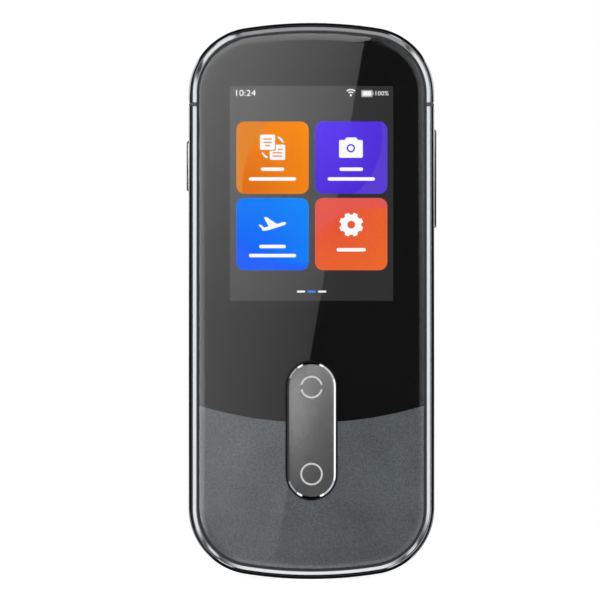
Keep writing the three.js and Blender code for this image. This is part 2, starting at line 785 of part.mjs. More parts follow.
function makeTalkKey() {
  const outline = pill(0, KEY_RISE, KEY_WIDTH, KEY_LENGTH);
  const section = [
    [KEY_CHAMFER, -KEY_PROUD],
    [0, KEY_CHAMFER - KEY_PROUD],
    [0, keyBack],
  ];
  let pad = plate(outline(PAD_MARGIN), keyBack, padBack);
  pad = pad.add(plate(keySlot(-PAD_FLANGE), padFlangeFront, padBack));
  for (const place of [-DOME_PLACE, DOME_PLACE]) {
    pad = pad.add(plate(disc(0, KEY_RISE + place, NUB_RADIUS), padFlangeFront, nubBack));
  }
  return [
    piece('talk_key', sweep(outline, section, false), 'keyMetal'),
    piece('key_pad', pad, 'rubber'),
  ];
}

// A snap dome: a low metal cap with a shoulder as high as three quarters of it
function makeDome(name, z) {
  const shoulderShare = 0.7;
  const crownShare = 0.4;
  const profile = [
    [0, domeFront],
    [DOME_RADIUS * crownShare, domeFront],
    [DOME_RADIUS * shoulderShare, domeFront + DOME_HEIGHT * (1 - shoulderShare)],
    [DOME_RADIUS, keyBoardFront],
    [0, keyBoardFront],
  ];
  return placed(piece(name, turned(profile, 2 * SCREW_STEPS), 'steel'), 0, 0, z);
}

function makeKeySwitches() {
  const board = plate(keySlot(-PAD_FLANGE), keyBoardFront, plateFront);
  const pivotRadius = keyBoardFront - padBack - FIT;
  const pivot = arc(keyBoardFront, KEY_RISE, pivotRadius, Math.PI / 2, (3 * Math.PI) / 2, QUARTER_STEPS);
  return [
    piece('key_board', board, 'board'),
    piece('key_pivot', sidePlate(pivot, -PIVOT_WIDTH / 2, PIVOT_WIDTH / 2), 'plastic'),
    makeDome('dome_upper', KEY_RISE + DOME_PLACE),
    makeDome('dome_lower', KEY_RISE - DOME_PLACE),
  ];
}

function sideSpan(points, side, inner, outer) {
  return side > 0 ? sidePlate(points, inner, outer) : sidePlate(points, -outer, -inner);
}

// A side key: a bar through the frame, a flange behind the wall, and a nub over each switch
function makeSideKey(name, side, rise, length, nubPlaces) {
  const slot = pill(sideDepth, rise, SIDE_SLOT_WIDTH, length);
  const flange = pill(
    sideDepth,
    rise,
    SIDE_SLOT_WIDTH + 2 * SIDE_FLANGE_OVER,
    length + 2 * SIDE_FLANGE_LENGTH_OVER,
  );
  let key = sideSpan(slot(SIDE_KEY_GAP), side, flangeInner, WIDTH / 2 + SIDE_KEY_PROUD);
  key = key.add(sideSpan(flange(0), side, flangeInner, flangeOuter));
  for (const place of nubPlaces) {
    const nub = disc(sideDepth, rise + place, SIDE_NUB_RADIUS);
    key = key.add(sideSpan(nub, side, sideNubTip, flangeOuter));
  }
  return piece(name, key, 'keyMetal');
}

function makeSwitch(name, side, rise) {
  const half = SWITCH_WIDTH / 2;
  const low = rise - SWITCH_LENGTH / 2;
  const body = rectangle(sideDepth - half, sideDepth + half, low, low + SWITCH_LENGTH);
  const plunger = disc(sideDepth, rise, PLUNGER_RADIUS);
  const solid = sideSpan(body, side, switchInner, switchOuter);
  return piece(name, solid.add(sideSpan(plunger, side, switchInner, plungerTip)), 'plastic');
}

function makeSideBoard(name, side, rise, length) {
  const half = SIDE_BOARD_WIDTH / 2;
  const reach = length / 2 - SIDE_BOARD_MARGIN;
  const points = rectangle(sideDepth - half, sideDepth + half, rise - reach, rise + reach);
  return piece(name, sideSpan(points, side, sideBoardInner, switchInner), 'board');
}

function makeSideKeys() {
  return [
    makeSideKey('volume_key', 1, volumeRise, VOLUME_LENGTH, [-SWITCH_PLACE, SWITCH_PLACE]),
    makeSideKey('power_key', -1, powerRise, POWER_LENGTH, [0]),
    makeSideBoard('side_board_right', 1, volumeRise, VOLUME_LENGTH),
    makeSideBoard('side_board_left', -1, powerRise, POWER_LENGTH),
    makeSwitch('switch_volume_up', 1, volumeRise + SWITCH_PLACE),
    makeSwitch('switch_volume_down', 1, volumeRise - SWITCH_PLACE),
    makeSwitch('switch_power', -1, powerRise),
  ];
}

function makeMainBoard() {
  const outline = roundedRectangle(-boardHalf, boardHalf, boardBottom, boardTop, BOARD_CORNER);
  const board = cutScrewHoles(plate(outline, plateBack, boardBack), boardScrewPlaces());
  const shieldBack = boardBack + SHIELD_HEIGHT;
  const cameraLow = inlayRise - CAMERA_SIDE / 2;
  const processorLow = cameraLow - SHIELD_GAP - PROCESSOR_HEIGHT;
  const processorHalf = PROCESSOR_WIDTH / 2;
  const radioRight = -CAMERA_SIDE / 2 - SHIELD_GAP;
  const radioLow = cameraLow;
  const processor = rectangle(-processorHalf, processorHalf, processorLow, processorLow + PROCESSOR_HEIGHT);
  const radioLeft = RADIO_MARGIN - boardHalf;
  const radio = rectangle(radioLeft, radioRight, radioLow, radioLow + RADIO_HEIGHT);
  return [
    piece('main_board', board, 'board'),
    piece('shield_processor', plate(processor, boardBack, shieldBack), 'steel'),
    piece('shield_radio', plate(radio, boardBack, shieldBack), 'steel'),
    makeCameraModule(),
    ...makeScrews('board_screw', boardScrewPlaces(), boardBack),
  ];
}

function makeCameraModule() {
  const half = CAMERA_SIDE / 2;
  const box = block(-half, half, inlayRise - half, inlayRise + half, boardBack, boardBack + CAMERA_HEIGHT);
  const barrel = plate(disc(0, inlayRise, BARREL_RADIUS), boardBack, lensFront - FIT);
  return piece('camera_module', box.add(barrel), 'plastic');
}

function makeBattery() {
  const half = batteryHalf;
  const front = plateBack + BATTERY_TAPE;
  const outline = roundedRectangle(-half, half, BATTERY_RISE, batteryTop, BATTERY_CORNER);
  const tapeInner = RIBBON_WIDTH / 2 + TAPE_GAP;
  const tapeOuter = half - TAPE_MARGIN;
  const low = BATTERY_RISE + TAPE_MARGIN;
  const high = batteryTop - TAPE_MARGIN;
  const leadRight = half - LEAD_MARGIN;
  const leadHigh = boardBottom + LEAD_OVERLAP;
  const leadBack = boardBack + LEAD_THICKNESS;
  const leadLeft = leadRight - LEAD_WIDTH;
  const lead = block(leadLeft, leadRight, batteryTop, leadHigh, boardBack, leadBack);
  return [
    piece('battery', plate(outline, front, backInner - BATTERY_BACK_GAP), 'cell'),
    piece('battery_tape_left', block(-tapeOuter, -tapeInner, low, high, plateBack, front), 'tape'),
    piece('battery_tape_right', block(tapeInner, tapeOuter, low, high, plateBack, front), 'tape'),
    piece('battery_lead', lead, 'plastic'),
  ];
}

function makePort() {
  const outline = pill(0, sideDepth, PORT_WIDTH, PORT_HEIGHT);
  const top = PORT_SINK + PORT_LENGTH;
  const floor = top - PORT_FLOOR;
  const hollow = upright(outline(PORT_WALL), -OVERRUN, floor);
  const tongue = rectangle(
    -TONGUE_WIDTH / 2,
    TONGUE_WIDTH / 2,
    sideDepth - TONGUE_THICKNESS / 2,
    sideDepth + TONGUE_THICKNESS / 2,
  );
  const earFront = plateBack + LOWER_BOARD_THICKNESS;
  const earRoot = PORT_WIDTH / 2 - PORT_EAR_ROOT;
  const earEnd = PORT_WIDTH / 2 + PORT_EAR_REACH;
  const earLow = top - PORT_EAR_LENGTH;
  let shell = upright(outline(0), PORT_SINK, top).subtract(hollow);
  shell = shell.add(upright(tongue, PORT_SINK + TONGUE_SINK, top));
  for (const [left, right] of [[-earEnd, -earRoot], [earRoot, earEnd]]) {
    shell = shell.add(block(left, right, earLow, top, earFront, earFront + PORT_EAR_THICKNESS));
  }
  return piece('usb_port', shell, 'steel');
}

function makeLowerBoard() {
  const back = plateBack + LOWER_BOARD_THICKNESS;
  const outline = roundedRectangle(
    lowerBoardLeft,
    LOWER_BOARD_RIGHT,
    LOWER_BOARD_LOW,
    LOWER_BOARD_HIGH,
    LOWER_BOARD_CORNER / 2,
  );
  const inside = plate(bodyOutline(trayInnerInset), plateBack, back);
  let board = plate(outline, plateBack, back).intersect(inside).subtract(portNotch());
  board = cutScrewHoles(board, lowerScrewPlaces());
  const micLeft = -MIC_PLACE - MIC_WIDTH / 2;
  const micHigh = LOWER_BOARD_LOW + MIC_LENGTH;
  const mic = block(micLeft, micLeft + MIC_WIDTH, LOWER_BOARD_LOW, micHigh, back, back + MIC_HEIGHT);
  return [
    piece('lower_board', board, 'board'),
    piece('mic_lower', mic, 'steel'),
    makePort(),
    ...makeScrews('lower_screw', lowerScrewPlaces(), back),
  ];
}

function makeSpeaker() {
  const left = LOWER_BOARD_RIGHT + FIT;
  const outline = roundedRectangle(
    left,
    speakerRight,
    SPEAKER_RISE,
    SPEAKER_RISE + SPEAKER_LENGTH,
    SPEAKER_CORNER,
  );
  return piece('speaker', plate(outline, plateBack, plateBack + SPEAKER_HEIGHT), 'plastic');
}

const island = pill(0, inlayRise, ISLAND_WIDTH, ISLAND_HEIGHT);

function makeIsland() {
  const ledgeInset = ISLAND_RIM + ISLAND_LEDGE;
  const section = [
    [-ISLAND_FLANGE, islandFront],
    [-ISLAND_FLANGE, backInner],
    [0, backInner],
    [0, islandBack - ISLAND_CHAMFER],
    [ISLAND_CHAMFER, islandBack],
    [ISLAND_RIM, islandBack],
    [ISLAND_RIM, windowFront],
    [ledgeInset, windowFront],
    [ledgeInset, islandFront],
  ];
  const lensHole = plate(disc(0, inlayRise, LENS_RADIUS + SNUG), 0, islandBack);
  const flashHole = plate(disc(flashPlace, inlayRise, FLASH_RADIUS + SNUG), 0, islandBack);
  const sheet = plate(island(ISLAND_RIM + SNUG), windowFront, windowBack);
  return [
    piece('camera_rim', sweep(island, section, true), 'darkMetal'),
    piece('camera_window', sheet.subtract(lensHole).subtract(flashHole), 'glass'),
  ];
}

function makeLens() {
  const bore = LENS_RADIUS - LENS_WALL;
  const seat = windowFront + LENS_SEAT;
  const ring = [
    [bore - LENS_LEDGE, lensFront],
    [LENS_RADIUS + LENS_FLANGE, lensFront],
    [LENS_RADIUS + LENS_FLANGE, windowFront],
    [LENS_RADIUS, windowFront],
    [LENS_RADIUS, windowBack],
    [bore, windowBack],
    [bore, seat],
    [bore - LENS_LEDGE, seat],
    [bore - LENS_LEDGE, lensFront],
  ];
  const radius = bore - LENS_GLASS_GAP;
  const domeShare = 0.6;
  const glass = [
    [0, seat],
    [radius, seat],
    [radius, seat + LENS_GLASS_THICKNESS],
    [radius * domeShare, seat + LENS_GLASS_THICKNESS + LENS_DOME * domeShare],
    [0, seat + LENS_GLASS_THICKNESS + LENS_DOME],
  ];
  return [
    placed(piece('lens_ring', turned(ring, 2 * SCREW_STEPS), 'darkMetal'), 0, 0, inlayRise),
    placed(piece('lens_glass', turned(glass, 2 * SCREW_STEPS), 'glass'), 0, 0, inlayRise),
  ];
}

function makeFlash() {
  const boardFront = islandFront - FLASH_BOARD_THICKNESS;
  const lens = [
    [0, flashFront],
    [FLASH_RADIUS + FLASH_FLANGE, flashFront],
    [FLASH_RADIUS + FLASH_FLANGE, windowFront],
    [FLASH_RADIUS, windowFront],
    [FLASH_RADIUS, windowBack - FLASH_SINK],
    [0, windowBack - FLASH_SINK],
  ];
  const half = FLASH_BOARD_WIDTH / 2;
  const reach = ISLAND_HEIGHT / 2 + ISLAND_FLANGE / 2;
  const left = flashPlace - half;
  const right = flashPlace + half;
  const board = block(left, right, inlayRise - reach, inlayRise + reach, boardFront, islandFront);
  const side = FLASH_LAMP_SIDE / 2;
  const lamp = block(
    flashPlace - side,
    flashPlace + side,
    inlayRise - side,
    inlayRise + side,
    islandFront,
    islandFront + FLASH_LAMP_HEIGHT,
  );
  const lensPiece = piece('flash_lens', turned(lens, 2 * SCREW_STEPS), 'flash');
  return [
    piece('flash_board', board, 'board'),
    piece('flash_lamp', lamp, 'flash'),
    placed(lensPiece, flashPlace, 0, inlayRise),
  ];
}

function makeRearMic() {
  const left = ISLAND_WIDTH / 2 + ISLAND_FLANGE + SEAM;
  const low = inlayRise - REAR_MIC_LENGTH / 2;
  const front = backInner - REAR_MIC_HEIGHT;
  const box = block(left, left + REAR_MIC_WIDTH, low, low + REAR_MIC_LENGTH, front, backInner);
  return piece('mic_rear', box, 'steel');
}

// The groove round the back edge that takes an inlay
function inlayGroove(side) {
  const depth = INLAY_DEPTH + SNUG;
  const outside = -OVERRUN;
  const outline = [
    [outside, skirtFront],
    [outside, THICKNESS + OVERRUN],
    [WIDTH / 2, THICKNESS + OVERRUN],
    [WIDTH / 2, THICKNESS - depth],
    ...inlayFloor(depth).reverse(),
    [BACK_STEP + depth, skirtFront],
  ];
  return upright(onSide(outline, side), inlayRise - gapHalf, inlayRise + gapHalf);
}

function makeBackCover() {
  const hollow = backEdge(skirtInnerInset, BACK_HOLLOW_WIDTH, backInner - backFront);
  const section = [
    ...hollow.reverse(),
    [skirtInnerInset, skirtFront],
    [trayInset, skirtFront],
    [trayInset, backFront],
    ...backEdge(BACK_STEP, BACK_EDGE_WIDTH, THICKNESS - backFront),
  ];
  const padRoom = disc(rearMicPlace, inlayRise, REAR_MIC_PAD + GROOVE_GAP);
  const floor = THICKNESS - INLAY_DEPTH - SNUG;
  let cover = sweep(bodyOutline, section, false);
  cover = cutSideNotch(cover, 1, volumeRise, VOLUME_LENGTH);
  cover = cutSideNotch(cover, -1, powerRise, POWER_LENGTH);
  cover = cover.subtract(portNotch());
  cover = cover.subtract(plate(island(-SNUG), backFront, islandBack));
  cover = cover.subtract(inlayGroove(1)).subtract(inlayGroove(-1));
  cover = cover.subtract(plate(padRoom, floor, islandBack)).subtract(rearMicHole());
  return piece('back_cover', cover, 'casing');
}

function assembly(name, meshes) {
  const group = new THREE.Group();
  group.name = name;
  group.add(...meshes);
  return group;
}

const translator = new THREE.Group();
translator.name = 'translator';
translator.position.y = (KEY_PROUD - THICKNESS - ISLAND_PROUD) / 2;
translator.add(
  assembly('front_face', [makeGlass(), ...makeFilms(), makeGasket(), ...makeDisplay()]),
  assembly('structure', [
    ...makeFrame(),
    makeInlay('inlay_right', 1),
    makeInlay('inlay_left', -1),
    makeTray(),
    ...makeScrews('frame_screw', frameScrewPlaces(), tabBack),
  ]),
  assembly('keys', [...makeTalkKey(), ...makeKeySwitches(), ...makeSideKeys()]),
  assembly('electronics', [
    ...makeMainBoard(),
    ...makeBattery(),
    ...makeLowerBoard(),
    makeSpeaker(),
    makeRearMic(),
  ]),
  assembly('camera', [...makeIsland(), ...makeLens(), ...makeFlash()]),
  assembly('casing', [makeBackCover()]),
);

export default translator;
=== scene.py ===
"""The looks of a handheld translator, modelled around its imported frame."""

import logging
import math
from collections.abc import Callable, Iterator, Sequence
from contextlib import contextmanager
from dataclasses import dataclass, field
from enum import Enum

import bmesh
import bpy
from mathutils import Matrix, Quaternion, Vector


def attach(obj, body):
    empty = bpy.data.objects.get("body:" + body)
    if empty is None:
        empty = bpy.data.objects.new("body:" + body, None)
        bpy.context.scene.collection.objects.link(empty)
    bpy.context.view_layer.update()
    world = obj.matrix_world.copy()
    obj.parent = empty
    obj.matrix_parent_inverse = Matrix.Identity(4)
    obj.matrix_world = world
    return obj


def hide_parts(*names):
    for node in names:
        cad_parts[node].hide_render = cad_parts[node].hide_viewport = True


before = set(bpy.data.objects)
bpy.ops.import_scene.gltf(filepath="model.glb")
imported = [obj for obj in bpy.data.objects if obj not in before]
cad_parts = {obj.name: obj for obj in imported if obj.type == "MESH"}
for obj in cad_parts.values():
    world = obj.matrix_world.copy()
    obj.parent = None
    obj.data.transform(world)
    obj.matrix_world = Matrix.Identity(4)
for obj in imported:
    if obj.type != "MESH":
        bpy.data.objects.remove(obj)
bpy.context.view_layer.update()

LOG = logging.getLogger("translator")
MM = 0.001
GLASS_TO_MIDDLE = 5.8
WELD = 1e-6
OVERRUN = 3.0
QUARTER = math.pi / 2

Triple = tuple[float, float, float]
Colour = Triple
Spot = tuple[float, float]
Test = Callable[[Vector, Vector], bool]

LEVEL = 0.9  # The share of its normal that makes a face count as facing one way.
NEAR = 0.01  # How far off a place may lie, in millimetres, and still count as there.
GENTLE = 24.0  # The bend in degrees up to which a long piece is shaded smooth.
REAR_CUT: Spot = (9.0, 14.0)  # The depths between which a tool opens the back.
SIGN_CUT: Spot = (0.5, 1.5)  # The depths between which a tool opens a sign.


def at(x: float, depth: float, z: float) -> Vector:
    """Turn a place from the body's millimetres, depth from the glass face, into metres."""
    return Vector((x, depth - GLASS_TO_MIDDLE, z)) * MM


def way(x: float, depth: float, z: float) -> Vector:
    """Turn a step in millimetres into metres."""
    return Vector((x, depth, z)) * MM


def tone(red: int, green: int, blue: int) -> Colour:
    """Turn a screen colour of 0 to 255 into the linear colour that shaders take."""
    steps = (red / 255, green / 255, blue / 255)
    return tuple(s / 12.92 if s <= 0.04045 else ((s + 0.055) / 1.055) ** 2.4 for s in steps)


class Cut(Enum):
    """The ways in which one solid works on another."""

    AWAY = "DIFFERENCE"
    SHARED = "INTERSECT"
    JOIN = "UNION"


class Kind(Enum):
    """What a selection in edit mode is made of."""

    POINTS = "VERT"
    EDGES = "EDGE"
    FACES = "FACE"


# The bench: what a hand does in the modelling window.


def release() -> None:
    """Leave nothing selected."""
    bpy.ops.object.select_all(action="DESELECT")


def take(piece: bpy.types.Object) -> None:
    """Select one piece alone and make it the active one.

    Args:
        piece: The object to select.
    """
    release()
    bpy.context.view_layer.objects.active = piece
    piece.select_set(True)


@contextmanager
def editing(piece: bpy.types.Object, kind: Kind = Kind.FACES) -> Iterator[None]:
    """Hold one piece in edit mode.

    Args:
        piece: The object to work on.
        kind: What is selected while working.
    """
    take(piece)
    bpy.ops.object.mode_set(mode="EDIT")
    bpy.ops.mesh.select_mode(type=kind.value)
    yield
    bpy.ops.object.mode_set(mode="OBJECT")


def pick(piece: bpy.types.Object, kind: Kind, test: Test) -> int:
    """Select what passes a test of its place in millimetres and its normal.

    Args:
        piece: The object in edit mode.
        kind: Points, edges or faces.
        test: Takes a place, with its depth from the glass face, and a normal.

    Returns:
        How many were selected.
    """
    bpy.ops.mesh.select_mode(type=kind.value)
    bpy.ops.mesh.select_all(action="DESELECT")
    mesh = bmesh.from_edit_mesh(piece.data)
    lift = Vector((0, GLASS_TO_MIDDLE, 0))
    count = 0
    for part in {Kind.POINTS: mesh.verts, Kind.EDGES: mesh.edges, Kind.FACES: mesh.faces}[kind]:
        if kind is Kind.POINTS:
            place, normal = part.co, part.normal
        elif kind is Kind.EDGES:
            place = (part.verts[0].co + part.verts[1].co) / 2
            normal = part.verts[1].co - part.verts[0].co
        else:
            place, normal = part.calc_center_median(), part.normal
        if test(place / MM + lift, normal):
            part.select = True
            count += 1
    mesh.select_flush_mode()
    bmesh.update_edit_mesh(piece.data)
    return count


def rims(piece: bpy.types.Object, test: Test) -> int:
    """Select the open edges that pass a test, as pick does.

    Args:
        piece: The object in edit mode.
        test: Takes an edge's middle and its direction.

    Returns:
        How many were selected.
    """
    open_edges = {
        edge.index for edge in bmesh.from_edit_mesh(piece.data).edges if edge.is_boundary
    }
    count = pick(piece, Kind.EDGES, test)
    mesh = bmesh.from_edit_mesh(piece.data)
    for edge in mesh.edges:
        if edge.select and edge.index not in open_edges:
            edge.select = False
            count -= 1
    mesh.select_flush_mode()
    bmesh.update_edit_mesh(piece.data)
    return count


def named(name: str) -> bpy.types.Object:
    """Name the new primitive and put its place into its mesh.

    Args:
        name: The new object's name.

    Returns:
        The new object.
    """
    piece = bpy.context.active_object
    piece.name = piece.data.name = name
    bpy.ops.object.transform_apply(location=True, rotation=True, scale=True)
    return piece


def draw(name: str, points: Sequence[Vector], closed: bool = False) -> bpy.types.Object:
    """Draw a line of edges, a point at a time.

    Args:
        name: The new object's name.
        points: Places in metres.
        closed: Whether the line comes back to its start.

    Returns:
        The object that holds the line.
    """
    release()
    bpy.ops.mesh.primitive_plane_add(size=MM, location=points[0])
    line = named(name)
    with editing(line, Kind.POINTS):
        bpy.ops.mesh.select_all(action="SELECT")
        bpy.ops.mesh.merge(type="CENTER")
        stops = [*points, points[0]] if closed else list(points)
        for here, there in zip(stops, stops[1:]):
            bpy.ops.mesh.extrude_vertices_move(TRANSFORM_OT_translate={"value": there - here})
        bpy.ops.mesh.select_all(action="SELECT")
        bpy.ops.mesh.remove_doubles(threshold=WELD)
    return line


def spin(steps: int, angle: float, x: float, z: float) -> None:
    """Turn the selected section about a front-to-back axis, from right to up."""
    bpy.ops.mesh.spin(steps=steps, angle=angle, center=at(x, 0, z), axis=(0, 1, 0))


def push(x: float, depth: float, z: float) -> None:
    """Extrude the selection by a step in millimetres."""
    bpy.ops.mesh.extrude_region_move(TRANSFORM_OT_translate={"value": way(x, depth, z)})


def weld(piece: bpy.types.Object) -> None:
    """Merge doubled points and turn all faces outwards.

    Args:
        piece: The object to work on.
    """
    with editing(piece, Kind.POINTS):
        bpy.ops.mesh.select_all(action="SELECT")
        bpy.ops.mesh.remove_doubles(threshold=WELD)
        bpy.ops.mesh.select_all(action="SELECT")
        bpy.ops.mesh.normals_make_consistent(inside=False)


def cap(piece: bpy.types.Object, depth: float, slack: float = NEAR) -> None:
    """Close an open end that lies at one depth.

    Args:
        piece: The open object.
        depth: Where the open end lies.
        slack: How far off its edges may lie.
    """
    with editing(piece, Kind.EDGES):
        rims(piece, lambda p, _: abs(p.y - depth) < slack)
        bpy.ops.mesh.edge_face_add()


def cut(piece: bpy.types.Object, tool: bpy.types.Object, how: Cut = Cut.AWAY) -> None:
    """Work one solid on another, and put the tool away.

    Args:
        piece: The solid that is kept.
        tool: The solid that works on it and goes.
        how: What the tool does.
    """
    take(piece)
    step = piece.modifiers.new(how.name.lower(), "BOOLEAN")
    step.operation, step.solver, step.object = how.value, "EXACT", tool
    bpy.ops.object.modifier_apply(modifier=step.name)
    bpy.data.objects.remove(tool, do_unlink=True)


def soften(piece: bpy.types.Object, test: Test, width: float, segments: int = 3) -> None:
    """Round off the edges that pass a test.

    Args:
        piece: The object to work on.
        test: Takes an edge's middle in millimetres and its direction.
        width: How far the rounding reaches, in millimetres.
        segments: How many strips it has.
    """
    with editing(piece, Kind.EDGES):
        if pick(piece, Kind.EDGES, test):
            bpy.ops.mesh.bevel(offset=width * MM, segments=segments, affect="EDGES")


def smooth(piece: bpy.types.Object, degrees: float = 32) -> bpy.types.Object:
    """Shade the gentle bends smooth and leave the sharp ones.

    Args:
        piece: The object to shade.
        degrees: The sharpest bend that counts as gentle.

    Returns:
        The same object.
    """
    weld(piece)
    take(piece)
    bpy.ops.object.shade_smooth_by_angle(angle=math.radians(degrees))
    return piece


def copied(piece: bpy.types.Object, name: str) -> bpy.types.Object:
    """Copy a piece with its own mesh.

    Args:
        piece: What is copied.
        name: The copy's name.

    Returns:
        The copy.
    """
    take(piece)
    bpy.ops.object.duplicate(linked=False)
    twin = bpy.context.active_object
    twin.name = twin.data.name = name
    return twin


def joined(name: str, pieces: Sequence[bpy.types.Object]) -> bpy.types.Object:
    """Join pieces into one object.

    Args:
        name: The whole's name.
        pieces: What is joined.

    Returns:
        The whole.
    """
    release()
    for piece in pieces:
        piece.select_set(True)
    bpy.context.view_layer.objects.active = pieces[0]
    bpy.ops.object.join()
    pieces[0].name = pieces[0].data.name = name
    return pieces[0]


def box(name: str, low: Vector, high: Vector) -> bpy.types.Object:
    """Add a block between two corners.

    Args:
        name: The new object's name.
        low: Its lowest corner, in metres.
        high: Its highest corner, in metres.

    Returns:
        The new object.
    """
    release()
    bpy.ops.mesh.primitive_cube_add(size=1, location=(low + high) / 2)
    bpy.context.active_object.scale = high - low
    return named(name)


def disc(
    name: str, x: float, z: float, radius: float, front: float, back: float, steps: int = 64
) -> bpy.types.Object:
    """Add a round plate between two depths.

    Args:
        name: The new object's name.
        x: The middle's place to the right.
        z: The middle's height.
        radius: Its radius.
        front: Depth of its front face.
        back: Depth of its back face.
        steps: How many sides it has.

    Returns:
        The new object.
    """
    return pill(name, x, z, 2 * radius, 2 * radius, front, back, steps)


def pill(
    name: str,
    x: float,
    z: float,
    width: float,
    height: float,
    front: float,
    back: float,
    steps: int = 96,
) -> bpy.types.Object:
    """Add a plate with round ends between two depths, from a circle pulled apart.

    Args:
        name: The new object's name.
        x: The middle's place to the right.
        z: The middle's height.
        width: Its size across.
        height: Its size upwards.
        front: Depth of its front face.
        back: Depth of its back face.
        steps: How many sides its two ends have together.

    Returns:
        The new object.
    """
    radius = min(width, height) / 2 / math.cos(math.pi / steps)
    run = abs(width - height) / 2
    release()
    bpy.ops.mesh.primitive_circle_add(
        vertices=steps,
        radius=radius * MM,
        fill_type="NGON",
        location=at(x, back, z),
        rotation=(QUARTER, math.pi / steps, 0),
    )
    sheet = named(name)
    with editing(sheet, Kind.POINTS):
        for side in (-1, 1) if run else ():
            if width > height:
                pick(sheet, Kind.POINTS, lambda p, _: (p.x - x) * side > 0)
                bpy.ops.transform.translate(value=way(side * run, 0, 0))
            else:
                pick(sheet, Kind.POINTS, lambda p, _: (p.z - z) * side > 0)
                bpy.ops.transform.translate(value=way(0, 0, side * run))
        bpy.ops.mesh.select_all(action="SELECT")
        push(0, front - back, 0)
    weld(sheet)
    return sheet


def slab(
    name: str, low: Spot, high: Spot, radius: float, front: float, back: float, steps: int = 10
) -> bpy.types.Object:
    """Add a plate with rounded corners between two depths.

    Args:
        name: The new object's name.
        low: Its lower left corner, x and z.
        high: Its upper right corner, x and z.
        radius: The corners' radius, or zero for square ones.
        front: Depth of its front face.
        back: Depth of its back face.
        steps: How many sides each corner has.

    Returns:
        The new object.
    """
    middle = at((low[0] + high[0]) / 2, back, (low[1] + high[1]) / 2)
    release()
    bpy.ops.mesh.primitive_plane_add(size=1, location=middle, rotation=(QUARTER, 0, 0))
    wide, long = high[0] - low[0], high[1] - low[1]
    bpy.context.active_object.scale = (wide * MM, long * MM, 1)
    sheet = named(name)
    with editing(sheet):
        bpy.ops.mesh.select_all(action="SELECT")
        if radius:
            bpy.ops.mesh.bevel(offset=radius * MM, segments=steps, affect="VERTICES")
            bpy.ops.mesh.select_all(action="SELECT")
        push(0, front - back, 0)
    weld(sheet)
    return sheet


def turned(
    name: str, x: float, z: float, profile: Sequence[Spot], steps: int = 96
) -> bpy.types.Object:
    """Turn a profile into a round piece on a front-to-back axis.

    Args:
        name: The new object's name.
        x: The axis's place to the right.
        z: The axis's height.
        profile: Pairs of radius and depth. A pair at radius zero lies on the axis.
        steps: How many sides the piece has.

    Returns:
        The new object.
    """
    on_axis = profile[0][0] == 0
    piece = draw(name, [at(x + r, d, z) for r, d in profile], closed=not on_axis)
    with editing(piece, Kind.POINTS):
        bpy.ops.mesh.select_all(action="SELECT")
        spin(steps, 4 * QUARTER, x, z)
    weld(piece)
    return piece


def carried(
    name: str, outline: "BodyOutline | PillOutline", section: Sequence[Spot], closed: bool
) -> bpy.types.Object:
    """Carry a section once round an outline.

    Args:
        name: The new object's name.
        outline: The route.
        section: Pairs of inset from the outline and depth.
        closed: Whether the section itself is a closed line.

    Returns:
        The ring. An open section leaves its two ends to be capped.
    """
    ring = draw(name, [outline.start(inset, depth) for inset, depth in section], closed)
    with editing(ring, Kind.EDGES):
        bpy.ops.mesh.select_all(action="SELECT")
        outline.carry()
    weld(ring)
    return ring


def bow(reach: float, drop: float, steps: int) -> list[Spot]:
    """Give a quarter of an ellipse as pairs, from the middle of a face to its edge.

    Args:
        reach: How far it lies in from the edge at its start.
        drop: How deep it ends.
        steps: How many straight stretches it has.

    Returns:
        Pairs of inset and depth.
    """
    angles = [QUARTER * i / steps for i in range(steps + 1)]
    return [(reach * (1 - math.sin(a)), drop * (1 - math.cos(a))) for a in angles]


@dataclass(frozen=True)
class BodyOutline:
    """The outline of the whole body, seen from the front: bowed ends, tight corners."""

    width: float = 55.5
    height: float = 125.6
    corner_radius: float = 15.0
    end_radius: float = 96.0
    corner_steps: int = 30
    end_steps: int = 14

    def side(self) -> float:
        """Give the corner centres' distance from the middle."""
        return self.width / 2 - self.corner_radius

    def lean(self) -> float:
        """Give the half angle that an end takes up."""
        return math.asin(self.side() / (self.end_radius - self.corner_radius))

    def low(self) -> float:
        """Give the height of the lower corner centres."""
        return self.end_radius - (self.end_radius - self.corner_radius) * math.cos(self.lean())

    def start(self, inset: float, depth: float) -> Vector:
        """Give a section's point on the right side, level with the upper corner centre."""
        return at(self.width / 2 - inset, depth, self.height - self.low())

    def carry(self) -> None:
        """Carry the selected section round: corner, end, corner, side, and again."""
        side, lean, low = self.side(), self.lean(), self.low()
        run = self.height - 2 * low
        for turn, middle in ((1, self.height - self.end_radius), (-1, self.end_radius)):
            near = self.height - low if turn > 0 else low
            spin(self.corner_steps, QUARTER - lean, turn * side, near)
            spin(self.end_steps, 2 * lean, 0, middle)
            spin(self.corner_steps, QUARTER - lean, -turn * side, near)
            push(0, 0, -turn * run)


@dataclass(frozen=True)
class PillOutline:
    """A level outline with round ends."""

    x: float
    z: float
    width: float
    height: float
    steps: int = 40

    def start(self, inset: float, depth: float) -> Vector:
        """Give a section's point under the right end's centre."""
        run = (self.width - self.height) / 2
        return at(self.x + run, depth, self.z - self.height / 2 + inset)

    def carry(self) -> None:
        """Carry the selected section round both ends."""
        run = (self.width - self.height) / 2
        for turn in (1, -1):
            spin(self.steps, 2 * QUARTER, self.x + turn * run, self.z)
            push(-turn * 2 * run, 0, 0)


BODY = BodyOutline()


def sealed(name: str, section: Sequence[Spot], front: float, back: float) -> bpy.types.Object:
    """Carry an open section round the body, and close it in front and behind.

    Args:
        name: The new object's name.
        section: Pairs of inset and depth.
        front: Depth of its front end.
        back: Depth of its back end.

    Returns:
        The new object.
    """
    piece = carried(name, BODY, section, closed=False)
    cap(piece, front)
    cap(piece, back)
    weld(piece)
    return piece


# The finishes.


